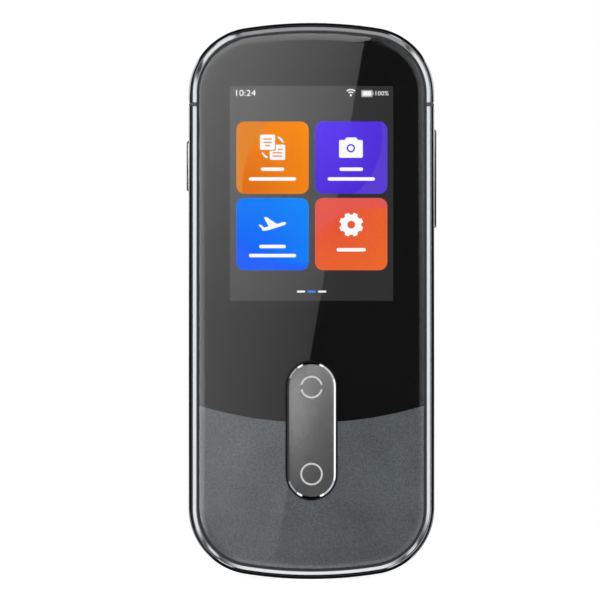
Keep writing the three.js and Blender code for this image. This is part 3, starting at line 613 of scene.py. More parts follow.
class Nodes:
    """A material or light node sheet, filled from the output backwards."""

    def __init__(self, tree: bpy.types.NodeTree) -> None:
        """Start an empty sheet."""
        self.tree = tree
        self.tree.nodes.clear()

    def add(
        self, kind: str, feeds: dict[str | int, object] | None = None, **settings: object
    ) -> bpy.types.Node:
        """Add a node.

        Args:
            kind: The node's type, without its ShaderNode.
            feeds: What goes into its sockets: other nodes' sockets, or plain values.
            **settings: The node's own properties.

        Returns:
            The new node.
        """
        node = self.tree.nodes.new(f"ShaderNode{kind}")
        for name, value in settings.items():
            setattr(node, name, value)
        for key, value in (feeds or {}).items():
            if isinstance(value, bpy.types.NodeSocket):
                self.tree.links.new(value, node.inputs[key])
            else:
                node.inputs[key].default_value = value
        return node

    def place(self, stretch: Triple = (1.0, 1.0, 1.0)) -> bpy.types.NodeSocket:
        """Give the piece's own coordinates, stretched along its axes.

        Args:
            stretch: What each axis is multiplied by.

        Returns:
            The coordinates' socket.
        """
        spot = self.add("TexCoord").outputs["Object"]
        if stretch == (1.0, 1.0, 1.0):
            return spot
        return self.add("Mapping", {"Vector": spot, "Scale": stretch}).outputs["Vector"]

    def noise(
        self, size: float, stretch: Triple = (1.0, 1.0, 1.0), detail: float = 2.0
    ) -> bpy.types.NodeSocket:
        """Give a grey noise whose grains have a size in millimetres."""
        feeds = {"Vector": self.place(stretch), "Scale": 1 / (size * MM), "Detail": detail}
        return self.add("TexNoise", feeds).outputs["Fac"]

    def scaled(self, value: bpy.types.NodeSocket, low: float, high: float) -> bpy.types.NodeSocket:
        """Bring a noise, which keeps to the middle of its range, to a span."""
        feeds = {"Value": value, 1: 0.3, 2: 0.7, 3: low, 4: high}
        return self.add("MapRange", feeds).outputs["Result"]

    def times(self, first: object, second: object) -> bpy.types.NodeSocket:
        """Multiply two numbers."""
        feeds = {0: first, 1: second}
        return self.add("Math", feeds, operation="MULTIPLY").outputs["Value"]

    def blend(self, share: object, first: object, second: object) -> bpy.types.NodeSocket:
        """Mix two colours by a share.

        Args:
            share: How much of the second shows.
            first: A colour or a socket.
            second: A colour or a socket.

        Returns:
            The colour's socket.
        """
        node = self.add("Mix", data_type="RGBA")
        for key, value in ((0, share), (6, first), (7, second)):
            if isinstance(value, bpy.types.NodeSocket):
                self.tree.links.new(value, node.inputs[key])
            else:
                node.inputs[key].default_value = (*value, 1) if key else value
        return node.outputs[2]

    def far(self, x: float, z: float) -> bpy.types.NodeSocket:
        """Give the distance from a front-to-back axis.

        Args:
            x: The axis's place to the right.
            z: The axis's height.

        Returns:
            The socket of the distance, in metres.
        """
        flat = self.place((1.0, 0.0, 1.0))
        feeds = {0: flat, 1: (x * MM, 0, z * MM)}
        return self.add("VectorMath", feeds, operation="DISTANCE").outputs["Value"]


SHELF: dict[str, bpy.types.Material] = {}


def worn(colour: Colour, by: float) -> Colour:
    """Make a colour lighter or darker by a share."""
    return tuple(min(max(c * (1 + by), 0.0), 1.0) for c in colour)


@dataclass(frozen=True)
class Finish:
    """A finish with fine grain, soft patches of tone and relief from the grain."""

    name: str
    colour: Colour
    roughness: float = 0.5
    metallic: float = 0.0
    grain: float = 0.3
    stretch: Triple = (1.0, 1.0, 1.0)
    tone_play: float = 0.08
    rough_play: float = 0.08
    relief: float = 0.15
    relief_depth: float = 0.01
    patch: float = 14.0
    coat: float = 0.0
    coat_roughness: float = 0.04
    specular: float = 0.5

    def material(self) -> bpy.types.Material:
        """Build the finish once, or give the one that was built.

        Returns:
            The material.
        """
        if self.name in SHELF:
            return SHELF[self.name]
        made = SHELF[self.name] = bpy.data.materials.new(f"finish_{self.name}")
        made.use_nodes = True
        nodes = Nodes(made.node_tree)
        shader = nodes.add(
            "BsdfPrincipled",
            {
                "Base Color": self.coloured(nodes),
                "Roughness": self.roughened(nodes),
                "Metallic": self.metallic,
                "Specular IOR Level": self.specular,
                "Coat Weight": self.coat,
                "Coat Roughness": self.coat_roughness,
                "Normal": self.bumped(nodes),
            },
        )
        self.refine(nodes, shader)
        nodes.add("OutputMaterial", {"Surface": self.surface(nodes, shader)})
        return made

    def coloured(self, nodes: Nodes) -> bpy.types.NodeSocket:
        """Give the colour: the grain over soft patches.

        Args:
            nodes: The material's sheet.

        Returns:
            The colour's socket.
        """
        low, high = worn(self.colour, -self.tone_play), worn(self.colour, self.tone_play)
        fine = nodes.scaled(nodes.noise(self.grain, self.stretch), 0.0, 1.0)
        base = nodes.blend(fine, low, high)
        soft = nodes.scaled(nodes.noise(self.patch), 0.0, self.tone_play)
        return nodes.blend(soft, base, worn(self.colour, -4 * self.tone_play))

    def roughened(self, nodes: Nodes) -> bpy.types.NodeSocket:
        """Give the roughness, which the grain shifts a little."""
        low, high = self.roughness * (1 - self.rough_play), self.roughness * (1 + self.rough_play)
        return nodes.scaled(nodes.noise(2 * self.grain, self.stretch), low, high)

    def bumped(self, nodes: Nodes) -> bpy.types.NodeSocket:
        """Give the relief of the grain.

        Args:
            nodes: The material's sheet.

        Returns:
            The normal's socket.
        """
        height = nodes.noise(self.grain, self.stretch, 3.0)
        feeds = {"Strength": self.relief, "Distance": self.relief_depth * MM, "Height": height}
        return nodes.add("Bump", feeds).outputs["Normal"]

    def refine(self, nodes: Nodes, shader: bpy.types.Node) -> None:
        """Leave the shader as it is; finishes of a kind add to it here."""

    def surface(self, nodes: Nodes, shader: bpy.types.Node) -> bpy.types.NodeSocket:
        """Give what goes to the output."""
        return shader.outputs["BSDF"]


@dataclass(frozen=True)
class ClearFinish(Finish):
    """Clear glass that lets the lamps light what lies behind it."""

    ior: float = 1.5

    def refine(self, nodes: Nodes, shader: bpy.types.Node) -> None:
        """Make the shader clear."""
        shader.inputs["Transmission Weight"].default_value = 1.0
        shader.inputs["IOR"].default_value = self.ior

    def surface(self, nodes: Nodes, shader: bpy.types.Node) -> bpy.types.NodeSocket:
        """Give glass that casts no shade.

        Args:
            nodes: The material's sheet.
            shader: The glass.

        Returns:
            The shader's socket.
        """
        share = nodes.add("LightPath").outputs["Is Shadow Ray"]
        shadeless = nodes.add("BsdfTransparent")
        feeds = {0: share, 1: shader.outputs["BSDF"], 2: shadeless.outputs["BSDF"]}
        return nodes.add("MixShader", feeds).outputs["Shader"]


@dataclass(frozen=True)
class CoatedGlass(ClearFinish):
    """Clear glass with a coating that takes the mirror off square patches of it."""

    patches: tuple[Spot, ...] = ()
    half: float = 8.1
    corner: float = 1.9
    kept: float = 0.1

    def refine(self, nodes: Nodes, shader: bpy.types.Node) -> None:
        """Make the shader clear, and its mirror weak on the patches.

        Args:
            nodes: The material's sheet.
            shader: The glass.
        """
        super().refine(nodes, shader)
        count: object = 0.0
        for x, z in self.patches:
            flat = nodes.place((1.0, 0.0, 1.0))
            feeds = {0: flat, 1: (x * MM, 0, z * MM)}
            away = nodes.add("VectorMath", feeds, operation="SUBTRACT").outputs["Vector"]
            side = nodes.add("VectorMath", {0: away}, operation="ABSOLUTE").outputs["Vector"]
            reach = ((self.half - self.corner) * MM,) * 3
            past = nodes.add("VectorMath", {0: side, 1: reach}, operation="SUBTRACT")
            feeds = {0: past.outputs["Vector"], 1: (0, 0, 0)}
            past = nodes.add("VectorMath", feeds, operation="MAXIMUM").outputs["Vector"]
            far = nodes.add("VectorMath", {0: past}, operation="LENGTH").outputs["Value"]
            feeds = {0: far, 1: self.corner * MM}
            inside = nodes.add("Math", feeds, operation="LESS_THAN").outputs["Value"]
            count = nodes.add("Math", {0: inside, 1: count}).outputs["Value"]
        tint = nodes.blend(count, (1.0, 1.0, 1.0), (self.kept,) * 3)
        nodes.tree.links.new(tint, shader.inputs["Specular Tint"])


@dataclass(frozen=True)
class PaintedShadeFinish(Finish):
    """A finish with painted shade: it grows darker downwards, between two heights in millimetres.
    """

    heights: Spot = (0.0, 1.0)
    painted_shade_share: float = 0.5

    def coloured(self, nodes: Nodes) -> bpy.types.NodeSocket:
        """Give the plain finish's colour with painted shade, darker towards the lower height.

        Args:
            nodes: The material's sheet.

        Returns:
            The colour's socket.
        """
        rise = nodes.add("SeparateXYZ", {"Vector": nodes.place()}).outputs["Z"]
        low, high = (height * MM for height in self.heights)
        feeds = {"Value": rise, 1: low, 2: high, 3: self.painted_shade_share, 4: 0.0}
        painted_shade = nodes.add("MapRange", feeds, interpolation_type="SMOOTHSTEP").outputs["Result"]
        return nodes.blend(painted_shade, super().coloured(nodes), (0.0, 0.0, 0.0))


@dataclass(frozen=True)
class GlowFinish(Finish):
    """A lit patch of the display, or the key's marks as painted glow: one colour runs into
    another, lighter beyond a bow.
    """

    far_colour: Colour = (1.0, 1.0, 1.0)
    beyond: Colour = (1.0, 1.0, 1.0)
    start: Spot = (0.0, 0.0)
    reach: float = 20.0
    bow_centre: Spot = (0.0, 0.0)
    bow_radius: float = 0.0
    bow_blur: float = 0.06
    strength: float = 1.0

    def coloured(self, nodes: Nodes) -> bpy.types.NodeSocket:
        """Give the dark of the panel when it is off."""
        return nodes.blend(nodes.noise(self.grain), tone(8, 8, 9), tone(11, 11, 12))

    def refine(self, nodes: Nodes, shader: bpy.types.Node) -> None:
        """Light the patch up.

        Args:
            nodes: The material's sheet.
            shader: The panel.
        """
        reach = {"Value": nodes.far(*self.start), 2: self.reach * MM}
        run = nodes.add("MapRange", reach).outputs["Result"]
        lit = nodes.blend(run, self.colour, self.far_colour)
        if self.bow_radius:
            edge = {"Value": nodes.far(*self.bow_centre), 1: self.bow_radius * MM}
            edge[2] = (self.bow_radius + self.bow_blur) * MM
            past = nodes.add("MapRange", edge).outputs["Result"]
            lit = nodes.blend(past, lit, self.beyond)
        nodes.tree.links.new(lit, shader.inputs["Emission Color"])
        shader.inputs["Emission Strength"].default_value = self.strength


@dataclass(frozen=True)
class RingedFinish(Finish):
    """A round piece whose colour changes in rings about its axis."""

    middle: Spot = (0.0, 0.0)
    rings: tuple[tuple[float, Colour], ...] = ()
    blur: float = 0.05

    def coloured(self, nodes: Nodes) -> bpy.types.NodeSocket:
        """Give the rings' colours, each from its radius outwards.

        Args:
            nodes: The material's sheet.

        Returns:
            The colour's socket.
        """
        distance = nodes.far(*self.middle)
        result: object = self.colour
        for radius, colour in self.rings:
            feeds = {"Value": distance, 1: radius * MM, 2: (radius + self.blur) * MM}
            share = nodes.add("MapRange", feeds).outputs["Result"]
            result = nodes.blend(share, result, colour)
        return result


@dataclass(frozen=True)
class BoardFinish(Finish):
    """A circuit board: solder mask over a net of tracks."""

    track: Colour = (0.05, 0.22, 0.1)
    pitch: float = 1.6
    track_edge: Spot = (0.5, 0.54)

    def coloured(self, nodes: Nodes) -> bpy.types.NodeSocket:
        """Give the mask with its tracks.

        Args:
            nodes: The material's sheet.

        Returns:
            The colour's socket.
        """
        feeds = {"Vector": nodes.place(), "Scale": 1 / (self.pitch * MM)}
        net = nodes.add("TexVoronoi", feeds, distance="MANHATTAN", feature="F1")
        near, far = self.track_edge
        edge = {"Value": net.outputs["Distance"], 1: near, 2: far}
        share = nodes.add("MapRange", edge).outputs["Result"]
        return nodes.blend(share, self.colour, self.track)


POLISHED = Finish(
    "polished_frame", (0.6, 0.615, 0.635), 0.1, 1.0, 0.2, (1, 1, 0.2), 0.03, 0.2, 0.02
)
CASING = Finish("casing_paint", tone(122, 127, 131), 0.42, 0.35, 0.28, tone_play=0.16, relief=0.3)
# The key's blasted face, with painted shade that darkens it towards its lower end.
KEY_FACE_PAINTED_SHADE = PaintedShadeFinish(
    "key_blasted_painted_shade",
    tone(146, 146, 147),
    0.21,
    0.95,
    0.2,
    tone_play=0.2,
    relief=1.0,
    heights=(12.0, 44.0),
    painted_shade_share=0.58,
)
KEY_EDGE = Finish("key_edge", (0.72, 0.73, 0.75), 0.05, 1.0, 0.2, tone_play=0.03, relief=0.03)
# The key's marks glow with painted light, though they are no lamp.
KEY_MARK_PAINTED_GLOW = GlowFinish(
    "key_mark_painted_glow", tone(190, 190, 191), 0.4, far_colour=tone(198, 198, 199), reach=40.0
)
SIDE_METAL = Finish(
    "side_key_metal", tone(172, 175, 178), 0.24, 1.0, 0.2, (1, 1, 0.3), relief=0.004
)
BLACK_PRINT = Finish("black_print", tone(19, 19, 19), 0.5, 0.0, 0.5, relief=0.02, specular=0.05)
GREY_PRINT = Finish("grey_print", tone(115, 121, 125), 0.5, 0.3, 0.34, tone_play=0.3, relief=0.6)
PANEL = GlowFinish(
    "display_panel", tone(48, 48, 48), 0.05, specular=0.3, reach=120.0, far_colour=tone(50, 50, 50)
)
DAM = Finish("dam_plastic", tone(52, 53, 55), 0.5, 0.0, 0.3, tone_play=0.06, specular=0.3)
INLAY = Finish("antenna_inlay", tone(104, 106, 108), 0.45, 0.0, 0.25, tone_play=0.06)
RIM = Finish("camera_rim", tone(78, 83, 86), 0.3, 0.4, 0.2, tone_play=0.05, relief=0.05)
WINDOW = Finish("camera_window", tone(34, 33, 33), 0.06, 0.0, 2.0, tone_play=0.06, relief=0.01)
LENS_RING = Finish("lens_ring", tone(112, 113, 114), 0.3, 0.3, 0.15, tone_play=0.06, relief=0.06)
RUBBER = Finish("key_rubber", tone(24, 24, 25), 0.8, 0.0, 0.3, tone_play=0.1, relief=0.2)
STEEL = Finish("steel", (0.56, 0.57, 0.58), 0.25, 1.0, 0.2, (1, 1, 4), 0.06, relief=0.06)
ALLOY = Finish("tray_alloy", (0.2, 0.205, 0.215), 0.4, 0.8, 0.3, tone_play=0.12, relief=0.1)
PLASTIC = Finish("inner_plastic", tone(38, 40, 42), 0.6, 0.0, 0.35, tone_play=0.1, relief=0.2)
TAPE = Finish("tape", tone(226, 222, 208), 0.7, 0.0, 0.4, tone_play=0.05, relief=0.1)
RIBBON = Finish("ribbon", tone(168, 98, 40), 0.45, 0.0, 0.5, (6, 1, 0.3), 0.14, relief=0.05)
FOIL = Finish("battery_foil", tone(66, 69, 74), 0.38, 0.5, 1.6, tone_play=0.1, relief=0.3)
TRAY_WHITE = Finish("display_tray", tone(206, 208, 210), 0.4, 0.3, 0.5, tone_play=0.04)
LAMP_CHIP = Finish("lamp_chip", tone(240, 214, 120), 0.5, 0.0, 0.2, tone_play=0.08)
BOARD = BoardFinish("board", (0.02, 0.11, 0.05), 0.4, grain=0.3, relief=0.1)
# The lens: near-black glass whose red and grey rings are painted reflections of its inner
# elements.
EYE_PAINTED_REFLECTIONS = RingedFinish(
    "lens_glass",
    tone(6, 6, 8),
    0.05,
    relief=0.0,
    coat=1.0,
    coat_roughness=0.02,
    middle=(0.0, 107.1),
    rings=(
        (0.38, tone(60, 14, 12)),
        (0.62, tone(16, 8, 10)),
        (1.02, tone(98, 24, 20)),
        (1.2, tone(22, 12, 14)),
        (1.5, tone(48, 48, 52)),
        (1.66, tone(10, 10, 12)),
    ),
)
FLASH = RingedFinish(
    "flash_lens",
    tone(255, 236, 150),
    0.25,
    relief=0.05,
    coat=0.6,
    middle=(7.66, 107.1),
    rings=((0.42, tone(252, 244, 206)), (0.8, tone(236, 236, 232)), (1.1, tone(250, 250, 248))),
)


# The sub-assemblies.


@dataclass
class Assembly:
    """A group of pieces that is built, dressed and handed to the frame together."""

    made: list[bpy.types.Object] = field(default_factory=list, init=False)

    def build(self) -> None:
        """Model the pieces."""

    def dress(self) -> None:
        """Give the carried-over nodes their finishes."""

    def hand_over(
        self,
        piece: bpy.types.Object,
        finish: Finish,
        slot: str,
        replaced: Sequence[str] = (),
        body: str = "body",
    ) -> bpy.types.Object:
        """Finish a piece and tie it to the frame.

        Args:
            piece: The modelled piece.
            finish: What covers it.
            slot: A material slot's name. It is not used.
            replaced: The nodes that it stands for.
            body: The body that it moves with.

        Returns:
            The same piece.
        """
        if not piece.data.materials:
            piece.data.materials.append(finish.material())
        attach(piece, body)
        if replaced:
            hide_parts(*replaced)
        self.made.append(piece)
        return piece

    def cover(self, finish: Finish, *names: str) -> None:
        """Give carried-over nodes one finish.

        Args:
            finish: What covers them.
            *names: The nodes' names.
        """
        for name in names:
            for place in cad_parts[name].material_slots:
                place.material = finish.material()

    def report(self) -> None:
        """Log each piece with its size."""
        for piece in self.made:
            size = " x ".join(f"{side / MM:.2f}" for side in piece.dimensions)
            LOG.info("%s: %s, %s mm", type(self).__name__, piece.name, size)


@dataclass
class TalkKey(Assembly):
    """The long metal key on the front, which rocks onto two domes."""

    rise: float = 33.6
    width: float = 10.9
    length: float = 30.7
    slot_gap: float = 0.42
    front: float = -0.5
    shoulder: float = -0.446
    crown_step: float = 0.9
    crown_slopes: tuple[float, ...] = (0.018, 0.015, 0.012, 0.008, 0.004)
    bow_drop: float = 0.17
    bow_cuts: int = 9
    back: float = 0.9
    chamfer: float = 0.42
    chamfer_drop: float = 0.26
    chamfer_lean: Spot = (-0.99, -0.3)
    crease: float = 20.0
    middle_room: float = 0.1
    end_room: Spot = (0.5, 0.1)
    rim_line: float = 0.12
    mark_place: float = 9.8
    mark_radius: float = 2.33
    mark_line: float = 0.4
    mark_gap: float = math.radians(25.2)
    mark_sunk: float = 0.02
    mark_proud: float = 0.006

    def slot(self, name: str = "slot_tool") -> bpy.types.Object:
        """Give a tool that cuts the key's slot through glass and print."""
        wide, long = self.width + 2 * self.slot_gap, self.length + 2 * self.slot_gap
        return pill(name, 0, self.rise, wide, long, -OVERRUN, OVERRUN, 128)

    def build(self) -> None:
        """Model the key and its two marks."""
        key = pill(
            "talk_key_cap", 0, self.rise, self.width, self.length, self.shoulder, self.back, 128
        )
        with editing(key):
            pick(key, Kind.FACES, lambda p, n: n.y < -LEVEL)
            bpy.ops.mesh.inset(thickness=self.chamfer * MM, depth=0)
            pick(key, Kind.FACES, lambda p, n: n.y < -LEVEL and self.inner(p))
            bpy.ops.mesh.inset(thickness=self.rim_line * MM, depth=0)
            for slope in self.crown_slopes:
                step = self.crown_step * MM
                bpy.ops.mesh.inset(thickness=step, depth=slope * step)
        self.lower_rim(key)
        self.bow_face(key)
        key.data.materials.append(KEY_FACE_PAINTED_SHADE.material())
        key.data.materials.append(KEY_EDGE.material())
        steep, flat = self.chamfer_lean
        with editing(key):
            pick(key, Kind.FACES, lambda p, n: steep < n.y < flat)
            key.active_material_index = 1
            bpy.ops.object.material_slot_assign()
        smooth(key, self.crease)
        self.hand_over(key, KEY_FACE_PAINTED_SHADE, "key_metal", ["talk_key"], "talk_key_body")
        self.build_marks()

    def inner(self, place: Vector) -> bool:
        """Tell whether a face's middle is the key's own, not the rim's."""
        return max(abs(place.x), abs(place.z - self.rise)) < self.middle_room

    def lower_rim(self, key: bpy.types.Object) -> None:
        """Slope the edge down from the inset face, as a chamfer.

        Args:
            key: The key with its insets.
        """
        run = (self.length - self.width) / 2
        with editing(key, Kind.POINTS):
            pick(key, Kind.POINTS, lambda p, _: p.y < self.shoulder + NEAR and self.outer(p, run))
            bpy.ops.transform.translate(value=way(0, self.chamfer_drop, 0))

    def bow_face(self, key: bpy.types.Object) -> None:
        """Bow the face a little along its length, so that both ends lie lower.

        Args:
            key: The key with its crown.
        """
        reach = self.length / 2
        with editing(key, Kind.FACES):
            for number in range(self.bow_cuts):
                share = number / (self.bow_cuts - 1) - 0.5
                bpy.ops.mesh.select_all(action="SELECT")
                height = at(0, 0, self.rise + share * reach)
                bpy.ops.mesh.bisect(plane_co=height, plane_no=(0, 0, 1))
            for side in (-1, 1):
                pick(key, Kind.POINTS, lambda p, _: self.at_end(p, side))
                bpy.ops.transform.translate(
                    value=way(0, self.bow_drop, 0),
                    use_proportional_edit=True,
                    proportional_edit_falloff="SHARP",
                    proportional_size=reach * MM,
                )

    def at_end(self, place: Vector, side: int) -> bool:
        """Tell whether a point lies in front at one end of the key's middle line.

        Args:
            place: The point.
            side: 1 for the upper end, -1 for the lower one.

        Returns:
            Whether it does.
        """
        wide, long = self.end_room
        along = (place.z - self.rise) * side
        return place.y < 0 and abs(place.x) < wide and along > self.length / 2 - long

    def outer(self, place: Vector, run: float) -> bool:
        """Tell whether a point lies on the key's outer line."""
        along = max(abs(place.z - self.rise) - run, 0.0)
        return math.hypot(place.x, along) > self.width / 2 - self.chamfer / 2

    def build_marks(self) -> None:
        """Set the marks into the face: a ring in two halves above, a whole ring below."""
        high, low = self.rise + self.mark_place, self.rise - self.mark_place
        half = 2 * QUARTER - self.mark_gap
        first = self.arc("mark_half_upper", high, self.mark_gap / 2, half)
        second = self.arc("mark_half_lower", high, 2 * QUARTER + self.mark_gap / 2, half)
        split = joined("mark_split_ring", [first, second])
        whole = self.arc("mark_whole_ring", low, 0.0, 4 * QUARTER)
        for mark, side in ((split, 1), (whole, -1)):
            self.lay_mark(mark, side)
            # The marks glow with painted light, though they are no lamp.
            self.hand_over(smooth(mark), KEY_MARK_PAINTED_GLOW, "key_metal", body="talk_key_body")

    def lay_mark(self, mark: bpy.types.Object, side: int) -> None:
        """Lay a mark down onto the bowed face, at one end or the other.

        Args:
            mark: The mark.
            side: 1 for the upper end, -1 for the lower one.
        """
        share = self.mark_place / (self.length / 2)
        with editing(mark):
            bpy.ops.mesh.select_all(action="SELECT")
            bpy.ops.transform.rotate(
                value=side * 2 * self.bow_drop * share / (self.length / 2),
                orient_axis="X",
                center_override=at(0, self.front, self.rise + side * self.mark_place),
            )
            bpy.ops.mesh.select_all(action="SELECT")
            bpy.ops.transform.translate(value=way(0, self.bow_drop * share**2, 0))

    def arc(self, name: str, z: float, start: float, sweep: float) -> bpy.types.Object:
        """Model a stretch of ring on the key's face."""
        span = (self.front - self.mark_proud, self.front + self.mark_sunk)
        return arc_band(name, (0.0, z), self.mark_radius, self.mark_line, (start, sweep), span)

    def dress(self) -> None:
        """Finish what lies under the key."""
        self.cover(RUBBER, "key_pad")
        self.cover(BOARD, "key_board")
        self.cover(STEEL, "dome_upper", "dome_lower")
        self.cover(PLASTIC, "key_pivot")


def arc_band(
    name: str, middle: Spot, radius: float, line: float, turn: Spot, span: Spot, steps: int = 64
) -> bpy.types.Object:
    """Model a flat band along a stretch of circle.

    Args:
        name: The new object's name.
        middle: The circle's centre, x and z.
        radius: Its radius to the band's middle.
        line: The band's width.
        turn: The angle that it starts at and the angle that it takes up.
        span: The depths of its front and back.
        steps: How many straight stretches it has.

    Returns:
        The new object.
    """
    (x, z), (start, sweep), (front, back) = middle, turn, span
    ends = [radius - line / 2, radius + line / 2]
    spots = [at(x + r * math.cos(start), back, z + r * math.sin(start)) for r in ends]
    band = draw(name, spots)
    with editing(band, Kind.EDGES):
        bpy.ops.mesh.select_all(action="SELECT")
        spin(steps, sweep, x, z)
        bpy.ops.mesh.select_all(action="SELECT")
        bpy.ops.mesh.remove_doubles(threshold=WELD)
        bpy.ops.mesh.select_all(action="SELECT")
        push(0, front - back, 0)
    weld(band)
    return band


@dataclass
class FrontGlass(Assembly):
    """The curved-edge glass with the two-tone print behind it."""

    inset: float = 2.48
    edge_width: float = 1.56
    edge_drop: float = 0.11
    flat_lead: float = 1.2
    back: float = 0.78
    dam_outer: float = 1.84
    dam_inner: float = 2.44
    dam_front: float = 0.22
    dam_back: float = 0.85
    dam_round: Spot = (0.06, 0.05)
    foot_outer: float = 2.1
    foam_inset: float = 3.7
    foam_front: float = 0.95
    foam_back: float = 1.1
    print_inset: float = 2.5
    print_front: float = 0.8
    print_back: float = 0.95
    print_gap: float = 0.004
    bow_centre: float = 122.4
    bow_radius: float = 87.0
    bow_steps: int = 720
    window_low: Spot = (-18.42, 62.82)
    window_high: Spot = (18.42, 111.23)
    steps: int = 12

    def build(self) -> None:
        """Model the glass and both prints."""
        shares = [step / self.steps for step in range(self.steps + 1)]
        edge = [
            (self.inset + self.edge_width * (1 - s), self.edge_drop * s * s) for s in shares
        ]
        flat = self.inset + self.edge_width + self.flat_lead
        lower = [(self.inset, self.back), (flat, self.back)]
        glass = sealed("front_glass_sheet", [(flat, 0), *edge, *lower], 0, self.back)
        cut(glass, TalkKey().slot())
        self.hand_over(smooth(glass), GLASS, "cover_glass", ["cover_glass"])
        self.build_dam()
        self.build_prints()

    def build_dam(self) -> None:
        """Model the gasket: foam under the print, and the dam that shows round the glass."""
        outer, inner, front = self.dam_outer, self.dam_inner, self.dam_front
        across, down = self.dam_round
        section = [
            (outer, front + down),
            (outer + across, front),
            (inner - across, front),
            (inner, front + down),
            (inner, self.foam_front),
            (self.foam_inset, self.foam_front),
            (self.foam_inset, self.foam_back),
            (self.foot_outer, self.foam_back),
            (self.foot_outer, self.dam_back),
            (outer, self.dam_back),
        ]
        dam = carried("glass_dam", BODY, section, closed=True)
        self.hand_over(smooth(dam), DAM, "gasket_rubber", ["glass_gasket"])

    def build_prints(self) -> None:
        """Model the black and the grey print, which meet along a bow."""
        section = [(self.print_inset, self.print_front), (self.print_inset, self.print_back)]
        black = sealed("print_black", section, self.print_front, self.print_back)
        cut(black, TalkKey().slot())
        grey = copied(black, "print_grey")
        for sheet, how, side in ((black, Cut.SHARED, -1), (grey, Cut.AWAY, 1)):
            radius = self.bow_radius + side * self.print_gap
            steps = self.bow_steps
            cut(sheet, disc("bow_tool", 0, self.bow_centre, radius, -OVERRUN, OVERRUN, steps), how)
        cut(black, slab("window_tool", self.window_low, self.window_high, 0, -OVERRUN, OVERRUN))
        self.hand_over(smooth(black), BLACK_PRINT, "black_print", ["film_black"])
        self.hand_over(smooth(grey), GREY_PRINT, "grey_print", ["film_grey"])

    def dress(self) -> None:
        """Finish what carries the glass."""
        self.cover(PANEL, "display_panel")
        self.cover(TRAY_WHITE, "display_lamp")
        self.cover(RIBBON, "display_flex")


@dataclass
class Sides:
    """Places that the frame, the casing and the keys share."""

    depth: float = 4.375
    volume_rise: float = 90.45
    volume_length: float = 22.7
    power_rise: float = 93.3
    power_length: float = 11.8
    slot_width: float = 2.2
    inlay_rise: float = 107.1
    gap_half: float = 0.45

    def slots(self) -> tuple[tuple[int, float, float], ...]:
        """Give each side key's side, its height and the length of its slot."""
        volume = (1, self.volume_rise, self.volume_length)
        return volume, (-1, self.power_rise, self.power_length)


SIDES = Sides()


def side_bar(
    name: str, side: int, rise: float, size: Spot, inner: float, outer: float, steps: int = 48
) -> bpy.types.Object:
    """Add a bar with round ends that runs along x through one side of the body.

    Args:
        name: The new object's name.
        side: 1 on the right, -1 on the left.
        rise: Height of its middle.
        size: Its width in depth and its length upwards.
        inner: Distance of its inner face from the middle of the body.
        outer: Distance of its outer face.
        steps: How many sides its ends have together.

    Returns:
        The new object.
    """
    wide, long = size
    radius = wide / 2 / math.cos(math.pi / steps)
    release()
    bpy.ops.mesh.primitive_circle_add(
        vertices=steps,
        radius=radius * MM,
        fill_type="NGON",
        location=at(side * inner, SIDES.depth, rise),
        rotation=(QUARTER, math.pi / steps, QUARTER),
    )
    bar = named(name)
    with editing(bar, Kind.POINTS):
        for turn in (-1, 1):
            pick(bar, Kind.POINTS, lambda p, _: (p.z - rise) * turn > NEAR)
            bpy.ops.transform.translate(value=way(0, 0, turn * (long - wide) / 2))
        bpy.ops.mesh.select_all(action="SELECT")
        push(side * (outer - inner), 0, 0)
    weld(bar)
    return bar


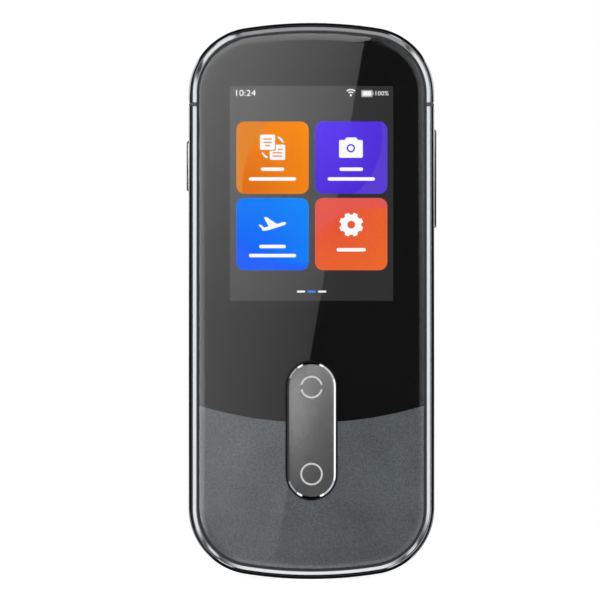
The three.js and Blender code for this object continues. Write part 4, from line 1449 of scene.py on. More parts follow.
@dataclass
class MetalFrame(Assembly):
    """The polished frame in two parts, split by the antenna inlays."""

    wall: float = 2.0
    depth: float = 6.6
    lip_drop: float = 0.15
    lip_reach: float = 2.2
    lip_fall: float = 1.7
    lip_end: float = 1.77
    ledge: float = 0.9
    back_chamfer: float = 0.12
    lip_steps: int = 22
    slot_reach: float = 4.0
    port_width: float = 8.94
    port_height: float = 3.2
    port_gap: float = 0.2
    sound_places: tuple[float, ...] = (7.6, 9.7, 11.8, 13.9)
    sound_radius: float = 0.55
    mic_place: float = -8.0
    mic_radius: float = 0.4

    def build(self) -> None:
        """Model the ring, cut its openings and part it."""
        route = bow(self.lip_reach, self.lip_fall, self.lip_steps)
        lip = [(i, self.lip_drop + d) for i, d in route if i <= self.lip_end]
        rear = [(0, self.depth - self.back_chamfer), (self.back_chamfer, self.depth)]
        inner = [(self.wall, self.depth), (self.wall, self.ledge), (lip[0][0], self.ledge)]
        ring = carried("frame_ring", BODY, [*lip, *rear, *inner], closed=True)
        self.cut_sides(ring)
        self.cut_bottom(ring)
        smooth(ring, GENTLE)
        upper = copied(ring, "frame_arch_upper")
        self.part(upper, SIDES.inlay_rise + SIDES.gap_half, keep_above=True)
        self.part(ring, SIDES.inlay_rise - SIDES.gap_half, keep_above=False)
        ring.name = ring.data.name = "frame_arch_lower"
        self.hand_over(upper, POLISHED, "polished_frame", ["frame_upper"])
        self.hand_over(ring, POLISHED, "polished_frame", ["frame_lower"])

    def cut_sides(self, ring: bpy.types.Object) -> None:
        """Cut the side keys' slots.

        Args:
            ring: The whole ring.
        """
        near, far = (BODY.width / 2 + turn * self.slot_reach for turn in (-1, 1))
        for side, rise, length in SIDES.slots():
            size = (SIDES.slot_width, length)
            cut(ring, side_bar("slot_tool", side, rise, size, near, far))

    def cut_bottom(self, ring: bpy.types.Object) -> None:
        """Cut the port, the sound holes and the microphone's hole.

        Args:
            ring: The whole ring.
        """
        wide, high = self.port_width + 2 * self.port_gap, self.port_height + 2 * self.port_gap
        cut(ring, upright_pill("port_tool", 0, wide, high))
        for x in self.sound_places:
            cut(ring, upright_pill("sound_tool", x, 2 * self.sound_radius, 2 * self.sound_radius))
        size = 2 * self.mic_radius
        cut(ring, upright_pill("mic_tool", self.mic_place, size, size))

    def part(self, ring: bpy.types.Object, height: float, keep_above: bool) -> None:
        """Keep the ring above or below a height, and close the cut.

        Args:
            ring: A whole ring.
            height: Where it is cut.
            keep_above: Whether the upper part stays.
        """
        with editing(ring):
            bpy.ops.mesh.select_all(action="SELECT")
            bpy.ops.mesh.bisect(
                plane_co=at(0, 0, height),
                plane_no=(0, 0, 1),
                use_fill=True,
                clear_inner=keep_above,
                clear_outer=not keep_above,
            )
        smooth(ring, GENTLE)

    def dress(self) -> None:
        """Finish the tray and the screws that hold the frame."""
        self.cover(ALLOY, "mid_chassis")
        self.cover(STEEL, *(f"frame_screw_{i}" for i in range(1, 7)))


def upright_pill(
    name: str, x: float, width: float, depth: float, reach: float = 7.0, steps: int = 48
) -> bpy.types.Object:
    """Add a tool that cuts a level slot up through the bottom of the frame.

    Args:
        name: The new object's name.
        x: Its middle's place to the right.
        width: Its size across.
        depth: Its size from front to back.
        reach: How tall it is.
        steps: How many sides its ends have together.

    Returns:
        The new object.
    """
    radius = depth / 2 / math.cos(math.pi / steps)
    release()
    bpy.ops.mesh.primitive_circle_add(
        vertices=steps,
        radius=radius * MM,
        fill_type="NGON",
        location=at(x, SIDES.depth, -OVERRUN),
        rotation=(0, 0, math.pi / steps),
    )
    tool = named(name)
    with editing(tool, Kind.POINTS):
        for side in (-1, 1) if width > depth else ():
            pick(tool, Kind.POINTS, lambda p, _: (p.x - x) * side > 0)
            bpy.ops.transform.translate(value=way(side * (width - depth) / 2, 0, 0))
        bpy.ops.mesh.select_all(action="SELECT")
        push(0, 0, reach)
    weld(tool)
    return tool


REAR_START = 6.8


def back_edge(inset: float, width: float, rise: float, steps: int = 20) -> list[Spot]:
    """Give the casing's bent edge as pairs of inset and depth, from the frame to the back."""
    angles = [QUARTER * i / steps for i in range(steps + 1)]
    return [(inset + width * (1 - math.cos(a)), REAR_START + rise * math.sin(a)) for a in angles]


def drawn(name: str, corners: Sequence[Vector], step: Triple) -> bpy.types.Object:
    """Add a plate from its drawn outline.

    Args:
        name: The new object's name.
        corners: Its corners in order, in metres.
        step: Its thickness, as a step to the right, in depth and up.

    Returns:
        The new object.
    """
    sheet = draw(name, corners, closed=True)
    with editing(sheet, Kind.EDGES):
        bpy.ops.mesh.select_all(action="SELECT")
        bpy.ops.mesh.edge_face_add()
        push(*step)
    weld(sheet)
    return sheet


def plate(name: str, outline: Sequence[Spot], front: float, back: float) -> bpy.types.Object:
    """Add a plate between two depths, from its corners' x and z."""
    return drawn(name, [at(x, back, z) for x, z in outline], (0, front - back, 0))


def level_plate(name: str, outline: Sequence[Spot], low: float, top: float) -> bpy.types.Object:
    """Add a plate between two heights, from its corners' x and depth."""
    return drawn(name, [at(x, depth, low) for x, depth in outline], (0, 0, top - low))


@dataclass
class Inlays(Assembly):
    """The plastic inlays that split the frame and run across the back to the island."""

    half: float = 0.3
    inner_inset: float = 13.75
    face: float = 11.6
    floor: float = 11.2
    wall: float = 1.78
    thickness: float = 0.4
    inner_seam: float = 0.55
    lip_sunk: float = 0.1
    step: float = 6.6
    pad_place: float = 14.9
    pad_radius: float = 0.75
    hole_radius: float = 0.3

    def build(self) -> None:
        """Model both inlays, the right one with the microphone's pad."""
        left = self.strip("inlay_strip_left", -1)
        right = self.strip("inlay_strip_right", 1)
        place, rise = self.pad_place, SIDES.inlay_rise
        pad = disc("pad_tool", place, rise, self.pad_radius, self.floor, self.face, 48)
        cut(right, pad, Cut.JOIN)
        cut(right, disc("hole_tool", place, rise, self.hole_radius, *REAR_CUT, 32))
        self.hand_over(smooth(left, GENTLE), INLAY, "inlay_plastic", ["inlay_left"])
        self.hand_over(smooth(right, GENTLE), INLAY, "inlay_plastic", ["inlay_right"])

    def strip(self, name: str, side: int) -> bpy.types.Object:
        """Model one inlay along its whole path.

        Args:
            name: The new object's name.
            side: 1 on the right, -1 on the left.

        Returns:
            The new object.
        """
        metal, casing, sunk = MetalFrame(), Casing(), self.lip_sunk
        route = bow(metal.lip_reach, metal.lip_fall, metal.lip_steps)
        lip = [(max(i, sunk), metal.lip_drop + sunk + d) for i, d in route if i <= self.wall]
        rise = self.face - REAR_START
        outer = back_edge(casing.seam, casing.bend, rise)
        inner = back_edge(self.inner_seam, casing.bend, rise - self.thickness)[::-1]
        section = [
            *lip,
            (sunk, self.step),
            *outer,
            (self.inner_inset, self.face),
            (self.inner_inset, self.floor),
            *inner,
            (self.inner_seam, self.step),
            (self.wall, self.step),
        ]
        half = BODY.width / 2
        outline = [(side * (half - inset), depth) for inset, depth in section]
        rise = SIDES.inlay_rise
        return level_plate(name, outline, rise - self.half, rise + self.half)


@dataclass
class Casing(Assembly):
    """The grey back casing with its bent edges."""

    face: float = 11.6
    ceiling: float = 10.4
    seam: float = 0.15
    bend: float = 6.2
    bend_steps: int = 24
    inner_bend: float = 4.5
    inner_steps: int = 12
    face_lead: float = 0.5
    skirt_outer: float = 2.3
    skirt_inner: float = 3.1
    skirt_front: float = 5.8
    flat: float = 9.0
    island_size: Spot = (27.6, 9.7)
    notch_from: float = 22.58
    notch_to: float = 40.0
    notch_short: float = 0.02
    notch_front: float = 2.775
    notch_extra: float = 0.9
    port_half: float = 4.77
    port_height: float = 8.1
    port_depth: float = 1.9
    pad_room: float = 0.9
    groove_inset: float = 0.65
    groove_front: float = 6.0
    groove_rise: float = 4.3
    groove_end: float = 15.0
    groove_floor: float = 11.1

    def build(self) -> None:
        """Model the shell and cut its openings."""
        outer = back_edge(self.seam, self.bend, self.face - REAR_START, self.bend_steps)
        depth = self.ceiling - REAR_START
        inner = back_edge(self.skirt_inner, self.inner_bend, depth, self.inner_steps)[::-1]
        skirt = [
            (self.skirt_inner, self.skirt_front),
            (self.skirt_outer, self.skirt_front),
            (self.skirt_outer, REAR_START),
        ]
        ends = [(self.seam + self.bend + self.face_lead, self.face), (self.flat, self.face)]
        section = [(self.flat, self.ceiling), *inner, *skirt, *outer, *ends]
        shell = sealed("casing_shell", section, self.ceiling, self.face)
        self.cut_skirt(shell)
        self.cut_back(shell)
        self.hand_over(smooth(shell, GENTLE), CASING, "back_casing", ["back_cover"])

    def cut_skirt(self, shell: bpy.types.Object) -> None:
        """Make room in the skirt for the side keys and the port.

        Args:
            shell: The shell.
        """
        for side, rise, length in SIDES.slots():
            reach = length / 2 + self.notch_extra
            near, far = sorted((side * self.notch_from, side * self.notch_to))
            low = at(near, self.notch_front, rise - reach)
            high = at(far, REAR_START - self.notch_short, rise + reach)
            cut(shell, box("notch_tool", low, high))
        low = at(-self.port_half, SIDES.depth - self.port_depth, -OVERRUN)
        high = at(self.port_half, SIDES.depth + self.port_depth, self.port_height)
        cut(shell, box("port_tool", low, high))

    def cut_back(self, shell: bpy.types.Object) -> None:
        """Cut the island's opening, the inlays' grooves and the microphone's hole.

        Args:
            shell: The shell.
        """
        rise, half, back = SIDES.inlay_rise, BODY.width / 2, REAR_CUT[1]
        cut(shell, pill("island_tool", 0, rise, *self.island_size, *REAR_CUT, 128))
        path = [(-OVERRUN, self.groove_front), (self.groove_inset, self.groove_front)]
        path += back_edge(self.groove_inset, self.bend, self.groove_rise)
        path += [(self.groove_end, self.groove_floor), (self.groove_end, back), (-OVERRUN, back)]
        for side in (-1, 1):
            outline = [(side * (half - inset), depth) for inset, depth in path]
            low, high = rise - SIDES.gap_half, rise + SIDES.gap_half
            cut(shell, level_plate("groove_tool", outline, low, high))
        inlays = Inlays()
        place = inlays.pad_place
        cut(shell, disc("pad_tool", place, rise, self.pad_room, self.groove_floor, back, 48))
        cut(shell, disc("hole_tool", place, rise, inlays.hole_radius, *REAR_CUT, 32))

    def dress(self) -> None:
        """Finish the battery and what holds it."""
        self.cover(FOIL, "battery")
        self.cover(TAPE, "battery_tape_left", "battery_tape_right")
        self.cover(PLASTIC, "battery_lead")


@dataclass
class SideKeys(Assembly):
    """The volume key on the right and the power key on the left."""

    thickness: float = 1.84
    volume_length: float = 22.34
    power_length: float = 11.44
    inner: float = 24.9
    outer: float = 28.25
    chamfer: float = 0.28
    flange_width: float = 2.6
    flange_extra: float = 1.2
    flange_outer: float = 25.4
    nub_inner: float = 24.8
    nub_width: float = 1.2
    nub_hold: float = 0.1
    nub_place: float = 7.5

    def build(self) -> None:
        """Model both keys."""
        volume = self.key("volume_key_bar", 1, SIDES.volume_rise, self.volume_length)
        for place in (-self.nub_place, self.nub_place):
            self.add_nub(volume, 1, SIDES.volume_rise + place)
        smooth(volume, GENTLE)
        self.hand_over(volume, SIDE_METAL, "side_key_metal", ["volume_key"], "volume_key_body")
        power = self.key("power_key_bar", -1, SIDES.power_rise, self.power_length)
        self.add_nub(power, -1, SIDES.power_rise)
        smooth(power, GENTLE)
        self.hand_over(power, SIDE_METAL, "side_key_metal", ["power_key"], "power_key_body")

    def key(self, name: str, side: int, rise: float, length: float) -> bpy.types.Object:
        """Model a key's chamfered bar with its flange.

        Args:
            name: The new object's name.
            side: 1 on the right, -1 on the left.
            rise: Height of its middle.
            length: Its length upwards.

        Returns:
            The new object.
        """
        bar = side_bar(name, side, rise, (self.thickness, length), self.inner, self.outer)
        soften(bar, lambda p, _: abs(p.x) > self.outer - NEAR, self.chamfer, 1)
        size = (self.flange_width, length + self.flange_extra)
        flange = side_bar("flange_tool", side, rise, size, self.inner, self.flange_outer)
        cut(bar, flange, Cut.JOIN)
        return bar

    def add_nub(self, bar: bpy.types.Object, side: int, rise: float) -> None:
        """Join the small foot that meets the switch.

        Args:
            bar: The key.
            side: 1 on the right, -1 on the left.
            rise: Height of the foot's middle.
        """
        size, outer = (self.nub_width, self.nub_width), self.inner + self.nub_hold
        nub = side_bar("nub_tool", side, rise, size, self.nub_inner, outer, 24)
        cut(bar, nub, Cut.JOIN)

    def dress(self) -> None:
        """Finish the boards and switches behind the keys."""
        self.cover(BOARD, "side_board_left", "side_board_right")
        self.cover(PLASTIC, "switch_power", "switch_volume_up", "switch_volume_down")


@dataclass
class CameraIsland(Assembly):
    """The raised island with the camera's eye and the small lamp."""

    rise: float = SIDES.inlay_rise
    size: Spot = (27.4, 9.5)
    rim_section: tuple[Spot, ...] = (
        (-0.7, 9.7), (-0.7, 10.4), (0, 10.4), (0, 11.8), (0.06, 11.95), (0.16, 12.06),
        (0.3, 12.1), (0.7, 12.1), (0.78, 12.04), (0.78, 11.0), (1.38, 11.0), (1.38, 9.7),
    )
    window_inset: float = 0.88
    window_front: float = 11.0
    window_back: float = 11.9
    window_round: float = 0.08
    collar_profile: tuple[Spot, ...] = (
        (1.54, 10.3), (3.17, 10.3), (3.17, 11.0), (2.57, 11.0), (2.57, 11.8), (2.47, 11.9),
        (2.2, 11.9), (1.89, 11.62), (1.89, 11.2), (1.54, 11.2),
    )
    lens_room: float = 2.67
    lens_profile: tuple[Spot, ...] = (
        (0, 11.2), (1.85, 11.2), (1.85, 11.5), (1.78, 11.56), (1.5, 11.63), (1.11, 11.69),
        (0.7, 11.73), (0.35, 11.745), (0, 11.75),
    )
    lamp_place: float = 7.66
    lamp_room: float = 1.43
    lamp_profile: tuple[Spot, ...] = (
        (0, 10.4), (1.83, 10.4), (1.83, 11.0), (1.33, 11.0), (1.33, 11.78), (1.26, 11.85),
        (0.9, 11.85), (0.84, 11.8), (0.42, 11.8), (0, 11.83),
    )

    def build(self) -> None:
        """Model the rim, the window, the eye and the lamp's lens."""
        outline = PillOutline(0, self.rise, *self.size)
        rim = carried("island_rim", outline, self.rim_section, closed=True)
        self.hand_over(smooth(rim), RIM, "dark_metal", ["camera_rim"])
        self.build_window()
        self.build_eye()

    def build_window(self) -> None:
        """Model the glossy plate with its two openings."""
        wide, high = (side - 2 * self.window_inset for side in self.size)
        front, back = self.window_front, self.window_back
        window = pill("island_window", 0, self.rise, wide, high, front, back, 128)
        soften(window, lambda p, _: p.y > back - NEAR, self.window_round)
        cut(window, disc("lens_tool", 0, self.rise, self.lens_room, *REAR_CUT, 96))
        cut(window, disc("lamp_tool", self.lamp_place, self.rise, self.lamp_room, *REAR_CUT, 64))
        self.hand_over(smooth(window), WINDOW, "camera_window", ["camera_window"])

    def build_eye(self) -> None:
        """Turn the lens ring, the lens and the lamp's lens."""
        collar = turned("lens_collar", 0, self.rise, self.collar_profile)
        self.hand_over(smooth(collar), LENS_RING, "dark_metal", ["lens_ring"])
        lens = turned("lens_eye", 0, self.rise, self.lens_profile)
        self.hand_over(smooth(lens), EYE_PAINTED_REFLECTIONS, "lens_glass", ["lens_glass"])
        lamp = turned("lamp_lens", self.lamp_place, self.rise, self.lamp_profile, 64)
        self.hand_over(smooth(lamp), FLASH, "flash_lens", ["flash_lens"])

    def dress(self) -> None:
        """Finish the camera's block, the lamp's board and the lamp."""
        self.cover(PLASTIC, "camera_module")
        self.cover(BOARD, "flash_board")
        self.cover(LAMP_CHIP, "flash_lamp")
        self.cover(STEEL, "mic_rear")


@dataclass
class Internals(Assembly):
    """The boards, shields, port and speaker, which stay as they are."""

    def dress(self) -> None:
        """Finish them."""
        self.cover(BOARD, "main_board", "lower_board")
        self.cover(STEEL, "shield_processor", "shield_radio", "mic_lower", "usb_port")
        self.cover(STEEL, *(f"board_screw_{i}" for i in range(1, 4)))
        self.cover(STEEL, *(f"lower_screw_{i}" for i in range(1, 3)))
        self.cover(PLASTIC, "speaker")


@dataclass(frozen=True)
class Tile:
    """One coloured square of the menu, in its own units from the lower left corner."""

    name: str
    x: float
    z: float
    start: Colour
    end: Colour
    beyond: Colour
    origin: Spot
    bow: Spot
    bow_radius: float
    labels: tuple[Spot, ...]
    run: float = 1.35

    def spot(self, size: float, place: Spot) -> Spot:
        """Turn a place in the tile's units into millimetres on the body."""
        return (self.x + (place[0] - 0.5) * size, self.z + (place[1] - 0.5) * size)

    def finish(self, size: float) -> GlowFinish:
        """Give the lit colour of the tile.

        Args:
            size: The tile's size.

        Returns:
            The finish.
        """
        return GlowFinish(
            f"tile_{self.name}",
            self.start,
            0.5,
            relief=0.0,
            specular=0.05,
            far_colour=self.end,
            beyond=self.beyond,
            start=self.spot(size, self.origin),
            reach=self.run * size,
            bow_centre=self.spot(size, self.bow),
            bow_radius=self.bow_radius * size,
        )


TILES = (
    Tile(
        "voice",
        -8.79,
        95.09,
        tone(224, 106, 0),
        tone(255, 144, 0),
        tone(232, 136, 40),
        (0, 0),
        (1.32, 0.1),
        1.234,
        ((-2.6, 5.3), (-4.8, 10.65)),
    ),
    Tile(
        "camera",
        8.95,
        95.09,
        tone(95, 60, 250),
        tone(72, 40, 210),
        tone(90, 62, 215),
        (0, 1),
        (-0.094, 0.8),
        1.021,
        ((-2.6, 5.3), (-4.8, 10.65)),
    ),
    Tile(
        "travel",
        -8.79,
        77.86,
        tone(0, 84, 255),
        tone(0, 138, 255),
        tone(30, 100, 255),
        (0, 0),
        (0.8, 1.104),
        1.021,
        ((-2.8, 6.0), (-4.84, 10.65)),
    ),
    Tile(
        "settings",
        8.95,
        77.86,
        tone(232, 75, 60),
        tone(240, 106, 40),
        tone(233, 90, 78),
        (0, 1),
        (0.8, -0.10),
        0.966,
        ((-3.53, 6.6),),
    ),
)
GLASS = CoatedGlass(
    "front_glass",
    (1.0, 1.0, 1.0),
    0.004,
    rough_play=0.5,
    relief=0.0,
    patch=40.0,
    patches=tuple((tile.x, tile.z) for tile in TILES),
)
WHITE_LIT = GlowFinish("lit_white", tone(250, 250, 250), far_colour=tone(254, 254, 254), reach=120)
BLUE_LIT = GlowFinish("lit_blue", tone(0, 118, 245), far_colour=tone(0, 132, 250), reach=120)
GREY_LIT = GlowFinish("lit_grey", tone(158, 158, 158), far_colour=tone(166, 166, 166), reach=120)


@dataclass
class Display(Assembly):
    """What the lit display shows: four tiles, their signs, a status line and a page mark."""

    tile_size: float = 16.3
    tile_radius: float = 1.85
    tile_front: float = 0.9
    sign_front: float = 0.86
    back: float = 0.94
    label_height: float = 0.78
    clock: str = "10:24"
    charge: str = "100%"

    def build(self) -> None:
        """Lay out the tiles, then the signs on them and the lines above and below."""
        for tile in TILES:
            half = self.tile_size / 2
            low, high = (tile.x - half, tile.z - half), (tile.x + half, tile.z + half)
            plain = slab(
                f"tile_{tile.name}", low, high, self.tile_radius, self.tile_front, self.back
            )
            self.hand_over(smooth(plain), tile.finish(self.tile_size), "display_glass")
            signs = getattr(self, f"{tile.name}_signs")(tile.x, tile.z)
            for rise, width in tile.labels:
                signs.append(self.bar(f"label_{tile.name}", tile.x, tile.z + rise, width))
            self.light(f"signs_{tile.name}", signs)
        self.build_page_mark()
        self.build_status_line()

    def light(
        self, name: str, signs: Sequence[bpy.types.Object], finish: Finish | None = None
    ) -> None:
        """Join signs into one lit piece.

        Args:
            name: The piece's name.
            signs: What it is made of.
            finish: Its light, or white.
        """
        piece = smooth(joined(name, signs)) if len(signs) > 1 else smooth(signs[0])
        piece.name = piece.data.name = name
        self.hand_over(piece, finish or WHITE_LIT, "display_glass")

    def bar(self, name: str, x: float, z: float, width: float) -> bpy.types.Object:
        """Model a label's plain bar."""
        return pill(name, x, z, width, self.label_height, self.sign_front, self.tile_front, 24)

    def block(self, name: str, low: Spot, high: Spot, radius: float) -> bpy.types.Object:
        """Model a rounded block of a sign."""
        return slab(name, low, high, radius, self.sign_front, self.tile_front, 6)

    def arc(
        self, name: str, middle: Spot, radius: float, line: float, turn: Spot
    ) -> bpy.types.Object:
        """Model a stretch of ring of a sign.

        Args:
            name: The new object's name.
            middle: Its centre, x and z.
            radius: Its radius.
            line: Its width.
            turn: Where it starts and how far it goes, in degrees.

        Returns:
            The new object.
        """
        start, sweep = (math.radians(a) for a in turn)
        span = (self.sign_front, self.tile_front)
        return arc_band(name, middle, radius, line, (start, sweep), span, 40)

    def tool(self, low: Spot, high: Spot, radius: float) -> bpy.types.Object:
        """Give a tool that cuts through a sign."""
        return slab("sign_tool", low, high, radius, *SIGN_CUT, 6)

    def voice_signs(self, x: float, z: float) -> list[bpy.types.Object]:
        """Model two cards that trade places, with a bow at each free corner.

        Args:
            x: The tile's middle, to the right.
            z: The tile's middle, upwards.

        Returns:
            The sign's pieces.
        """
        front = self.block("card_front", (x - 2.84, z + 1.77), (x + 0.57, z + 5.21), 0.35)
        rear = self.block("card_rear", (x - 0.63, z - 0.5), (x + 2.84, z + 2.94), 0.35)
        cut(rear, self.tool((x - 3.0, z + 1.55), (x + 0.79, z + 5.4), 0.4))
        for rise, reach in ((4.2, 0.95), (3.45, 0.95), (2.7, 0.55)):
            low = (x - 1.13 - reach, z + rise - 0.14)
            cut(front, self.tool(low, (x - 1.13 + reach, z + rise + 0.14), 0))
        for rise, middle, reach in ((1.85, 1.75, 0.55), (1.1, 1.1, 1.1), (0.35, 1.1, 1.1)):
            low = (x + middle - reach, z + rise - 0.14)
            cut(rear, self.tool(low, (x + middle + reach, z + rise + 0.14), 0))
        first = self.arc("swap_upper", (x, z + 2.35), 2.6, 0.42, (24, 38))
        second = self.arc("swap_lower", (x, z + 2.35), 2.6, 0.42, (208, 36))
        return [front, rear, first, second]

    def camera_signs(self, x: float, z: float) -> list[bpy.types.Object]:
        """Model a small camera.

        Args:
            x: The tile's middle, to the right.
            z: The tile's middle, upwards.

        Returns:
            The sign's pieces.
        """
        body = self.block("sign_body", (x - 2.74, z - 0.02), (x + 2.61, z + 3.98), 0.35)
        front, back = self.sign_front, self.tile_front
        hump = [(x - 1.6, z + 3.9), (x + 1.62, z + 3.9), (x + 1.05, z + 4.55), (x - 1.0, z + 4.55)]
        cut(body, plate("hump_tool", hump, front, back), Cut.JOIN)
        middle = (x - 0.08, z + 2.13)
        cut(body, disc("eye_tool", *middle, 0.95, *SIGN_CUT, 48))
        return [body, disc("sign_eye", *middle, 0.6, front, back, 48)]

    def travel_signs(self, x: float, z: float) -> list[bpy.types.Object]:
        """Model a small plane that climbs to the right.

        Args:
            x: The tile's middle, to the right.
            z: The tile's middle, upwards.

        Returns:
            The sign's piece.
        """
        front, back = self.sign_front, self.tile_front
        hull = [(-2.35, 1.3), (-1.0, 1.72), (1.2, 2.33), (2.45, 2.72), (2.8, 2.74), (3.02, 2.6)]
        hull += [(3.06, 2.38), (2.9, 2.16), (2.5, 1.97), (0.8, 1.42), (-0.8, 0.93), (-1.8, 0.74)]
        hull += [(-2.25, 0.78), (-2.45, 0.98)]
        wing = [(1.15, 2.2), (-0.85, 1.7), (-1.95, 3.72), (-1.72, 3.86), (-1.3, 3.8)]
        tail = [(-1.5, 1.2), (-2.3, 1.1), (-3.12, 2.02), (-2.95, 2.14), (-2.6, 2.08)]
        plane, *others = (
            plate("plane_sign", [(x + right, z + up) for right, up in outline], front, back)
            for outline in (hull, wing, tail)
        )
        for other in others:
            cut(plane, other, Cut.JOIN)
        return [plane]

    def settings_signs(self, x: float, z: float) -> list[bpy.types.Object]:
        """Model a toothed wheel.

        Args:
            x: The tile's middle, to the right.
            z: The tile's middle, upwards.

        Returns:
            The sign's piece.
        """
        teeth, outer, root, hub, middle_rise = 8, 2.74, 2.28, 0.86, z + 2.13
        spots = []
        for tooth in range(teeth):
            middle = 4 * QUARTER * (tooth + 0.5) / teeth
            for lean, radius in ((-0.27, root), (-0.17, outer), (0.17, outer), (0.27, root)):
                angle = middle + lean
                right, up = radius * math.cos(angle), radius * math.sin(angle)
                spots.append((x + right, middle_rise + up))
        wheel = plate("sign_wheel", spots, self.sign_front, self.tile_front)
        cut(wheel, disc("wheel_tool", x, middle_rise, hub, *SIGN_CUT, 40))
        return [wheel]

    def build_page_mark(self) -> None:
        """Model the three dashes under the tiles."""
        for name, x, finish in (
            ("page_dash_left", -2.38, WHITE_LIT),
            ("page_dash_middle", 0.0, BLUE_LIT),
            ("page_dash_right", 2.38, WHITE_LIT),
        ):
            dash = pill(name, x, 64.9, 1.88, 0.45, self.sign_front, self.back, 16)
            self.light(name, [dash], finish)

    def build_status_line(self) -> None:
        """Model the clock, the signal, the battery and its charge."""
        self.light("status_clock", [self.numbers(self.clock, -17.0, 109.0, 4.4, 1.38)])
        self.light("status_charge", [self.numbers(self.charge, 14.45, 109.12, 2.93, 1.0)])
        x, z = 8.85, 109.15
        front, back = self.sign_front, self.back
        waves = [disc("wave_dot", x, z, 0.24, front, back, 20)]
        turn, span = (QUARTER / 2, QUARTER), (front, back)
        waves += [arc_band("wave", (x, z), r, 0.27, turn, span, 16) for r in (0.72, 1.3)]
        self.light("status_waves", waves)
        shell = slab("cell_shell", (11.2, 108.75), (13.8, 110.35), 0.25, front, back, 4)
        cut(shell, slab("cell_tool", (11.5, 109.05), (13.5, 110.05), 0.1, *SIGN_CUT, 3))
        knob = slab("cell_knob", (13.8, 109.25), (14.05, 109.85), 0, front, back)
        self.light("status_cell", [shell, knob], GREY_LIT)
        charge = slab("status_charge_level", (11.5, 109.05), (13.5, 110.05), 0.1, front, back, 3)
        self.light("status_charge_level", [charge])

    def numbers(
        self, words: str, x: float, z: float, width: float, height: float
    ) -> bpy.types.Object:
        """Write plain numbers into a space.

        Args:
            words: What they say.
            x: Left end of the space.
            z: Its lower edge.
            width: Its size across.
            height: Its size upwards.

        Returns:
            The new mesh.
        """
        release()
        bpy.ops.object.text_add()
        line = bpy.context.active_object
        line.data.body = words
        line.data.resolution_u = 4
        bpy.ops.object.convert(target="MESH")
        line = bpy.context.active_object
        spots = [v.co.copy() for v in line.data.vertices]
        low = Vector([min(s[i] for s in spots) for i in range(2)])
        high = Vector([max(s[i] for s in spots) for i in range(2)])
        line.scale = (width * MM / (high.x - low.x), height * MM / (high.y - low.y), 1)
        line.rotation_euler = (QUARTER, 0, 0)
        line.location = at(x, self.back, z)
        shift = Vector((low.x * line.scale.x, 0, low.y * line.scale.y))
        line.location -= shift
        named(f"numbers_{words.count(':')}")
        with editing(line):
            bpy.ops.mesh.select_all(action="SELECT")
            bpy.ops.mesh.remove_doubles(threshold=WELD)
            bpy.ops.mesh.select_all(action="SELECT")
            push(0, self.sign_front - self.back, 0)
        weld(line)
        return line


def facing(around: float, off: float) -> Vector:
    """Give the direction that lies off the line of view by an angle, both in degrees.

    Args:
        around: Where it lies round the front, counted from the right over the top.
        off: The angle from the line of view.

    Returns:
        A direction of length one.
    """
    around, off = math.radians(around), math.radians(off)
    right, up = math.cos(around), math.sin(around)
    return Vector((math.sin(off) * right, -math.cos(off), math.sin(off) * up))


@dataclass(frozen=True)
class Card:
    """A flat soft light that faces a place, with its sizes in millimetres.

    It turns by roll about its own axis, and dims to the shares falls_to, to the right and
    downwards, beyond the shares of its sides that level says.
    """

    name: str
    around: float
    off: float
    size: Spot
    glow: float
    distance: float = 1000.0
    roll: float = 0.0
    falls_to: Spot = (1.0, 1.0)
    level: Spot = (0.0, 0.0)
    middle: Triple = (0.0, 0.0, 63.0)

    def hang(self) -> None:
        """Put the card up, at a glow that white is 1 of."""
        out = facing(self.around, self.off)
        along = facing(self.around, self.off + 90)
        axes = Matrix((along.cross(out), along, out)).transposed()
        turn = Quaternion((0, 0, 1), math.radians(self.roll))
        release()
        bpy.ops.object.light_add(
            type="AREA", location=(Vector(self.middle) + out * self.distance) * MM
        )
        card = bpy.context.active_object
        card.name = card.data.name = self.name
        card.rotation_euler = (axes.to_quaternion() @ turn).to_euler()
        card.data.shape = "RECTANGLE"
        card.data.size, card.data.size_y = (side * MM for side in self.size)
        card.data.energy = self.glow * math.pi * card.data.size * card.data.size_y
        card.visible_camera = False
        if self.falls_to != (1.0, 1.0):
            self.shade(card)

    def shade(self, card: bpy.types.Object) -> None:
        """Let the card grow dim to the right and downwards, between its level parts.

        Args:
            card: The light.
        """
        card.data.use_nodes = True
        nodes = Nodes(card.data.node_tree)
        spot = nodes.add("NewGeometry").outputs["Parametric"]
        sides = nodes.add("SeparateXYZ", {"Vector": spot}).outputs
        right, down = self.falls_to
        feeds = {"Value": sides["X"], 1: self.level[0], 3: 1.0, 4: right}
        across = nodes.add("MapRange", feeds).outputs["Result"]
        feeds = {"Value": sides["Y"], 1: self.level[1], 3: down, 4: 1.0}
        rise = nodes.add("MapRange", feeds).outputs["Result"]
        strength = nodes.times(across, rise)
        light = nodes.add("Emission", {"Strength": strength})
        nodes.add("OutputLight", {"Surface": light.outputs["Emission"]})


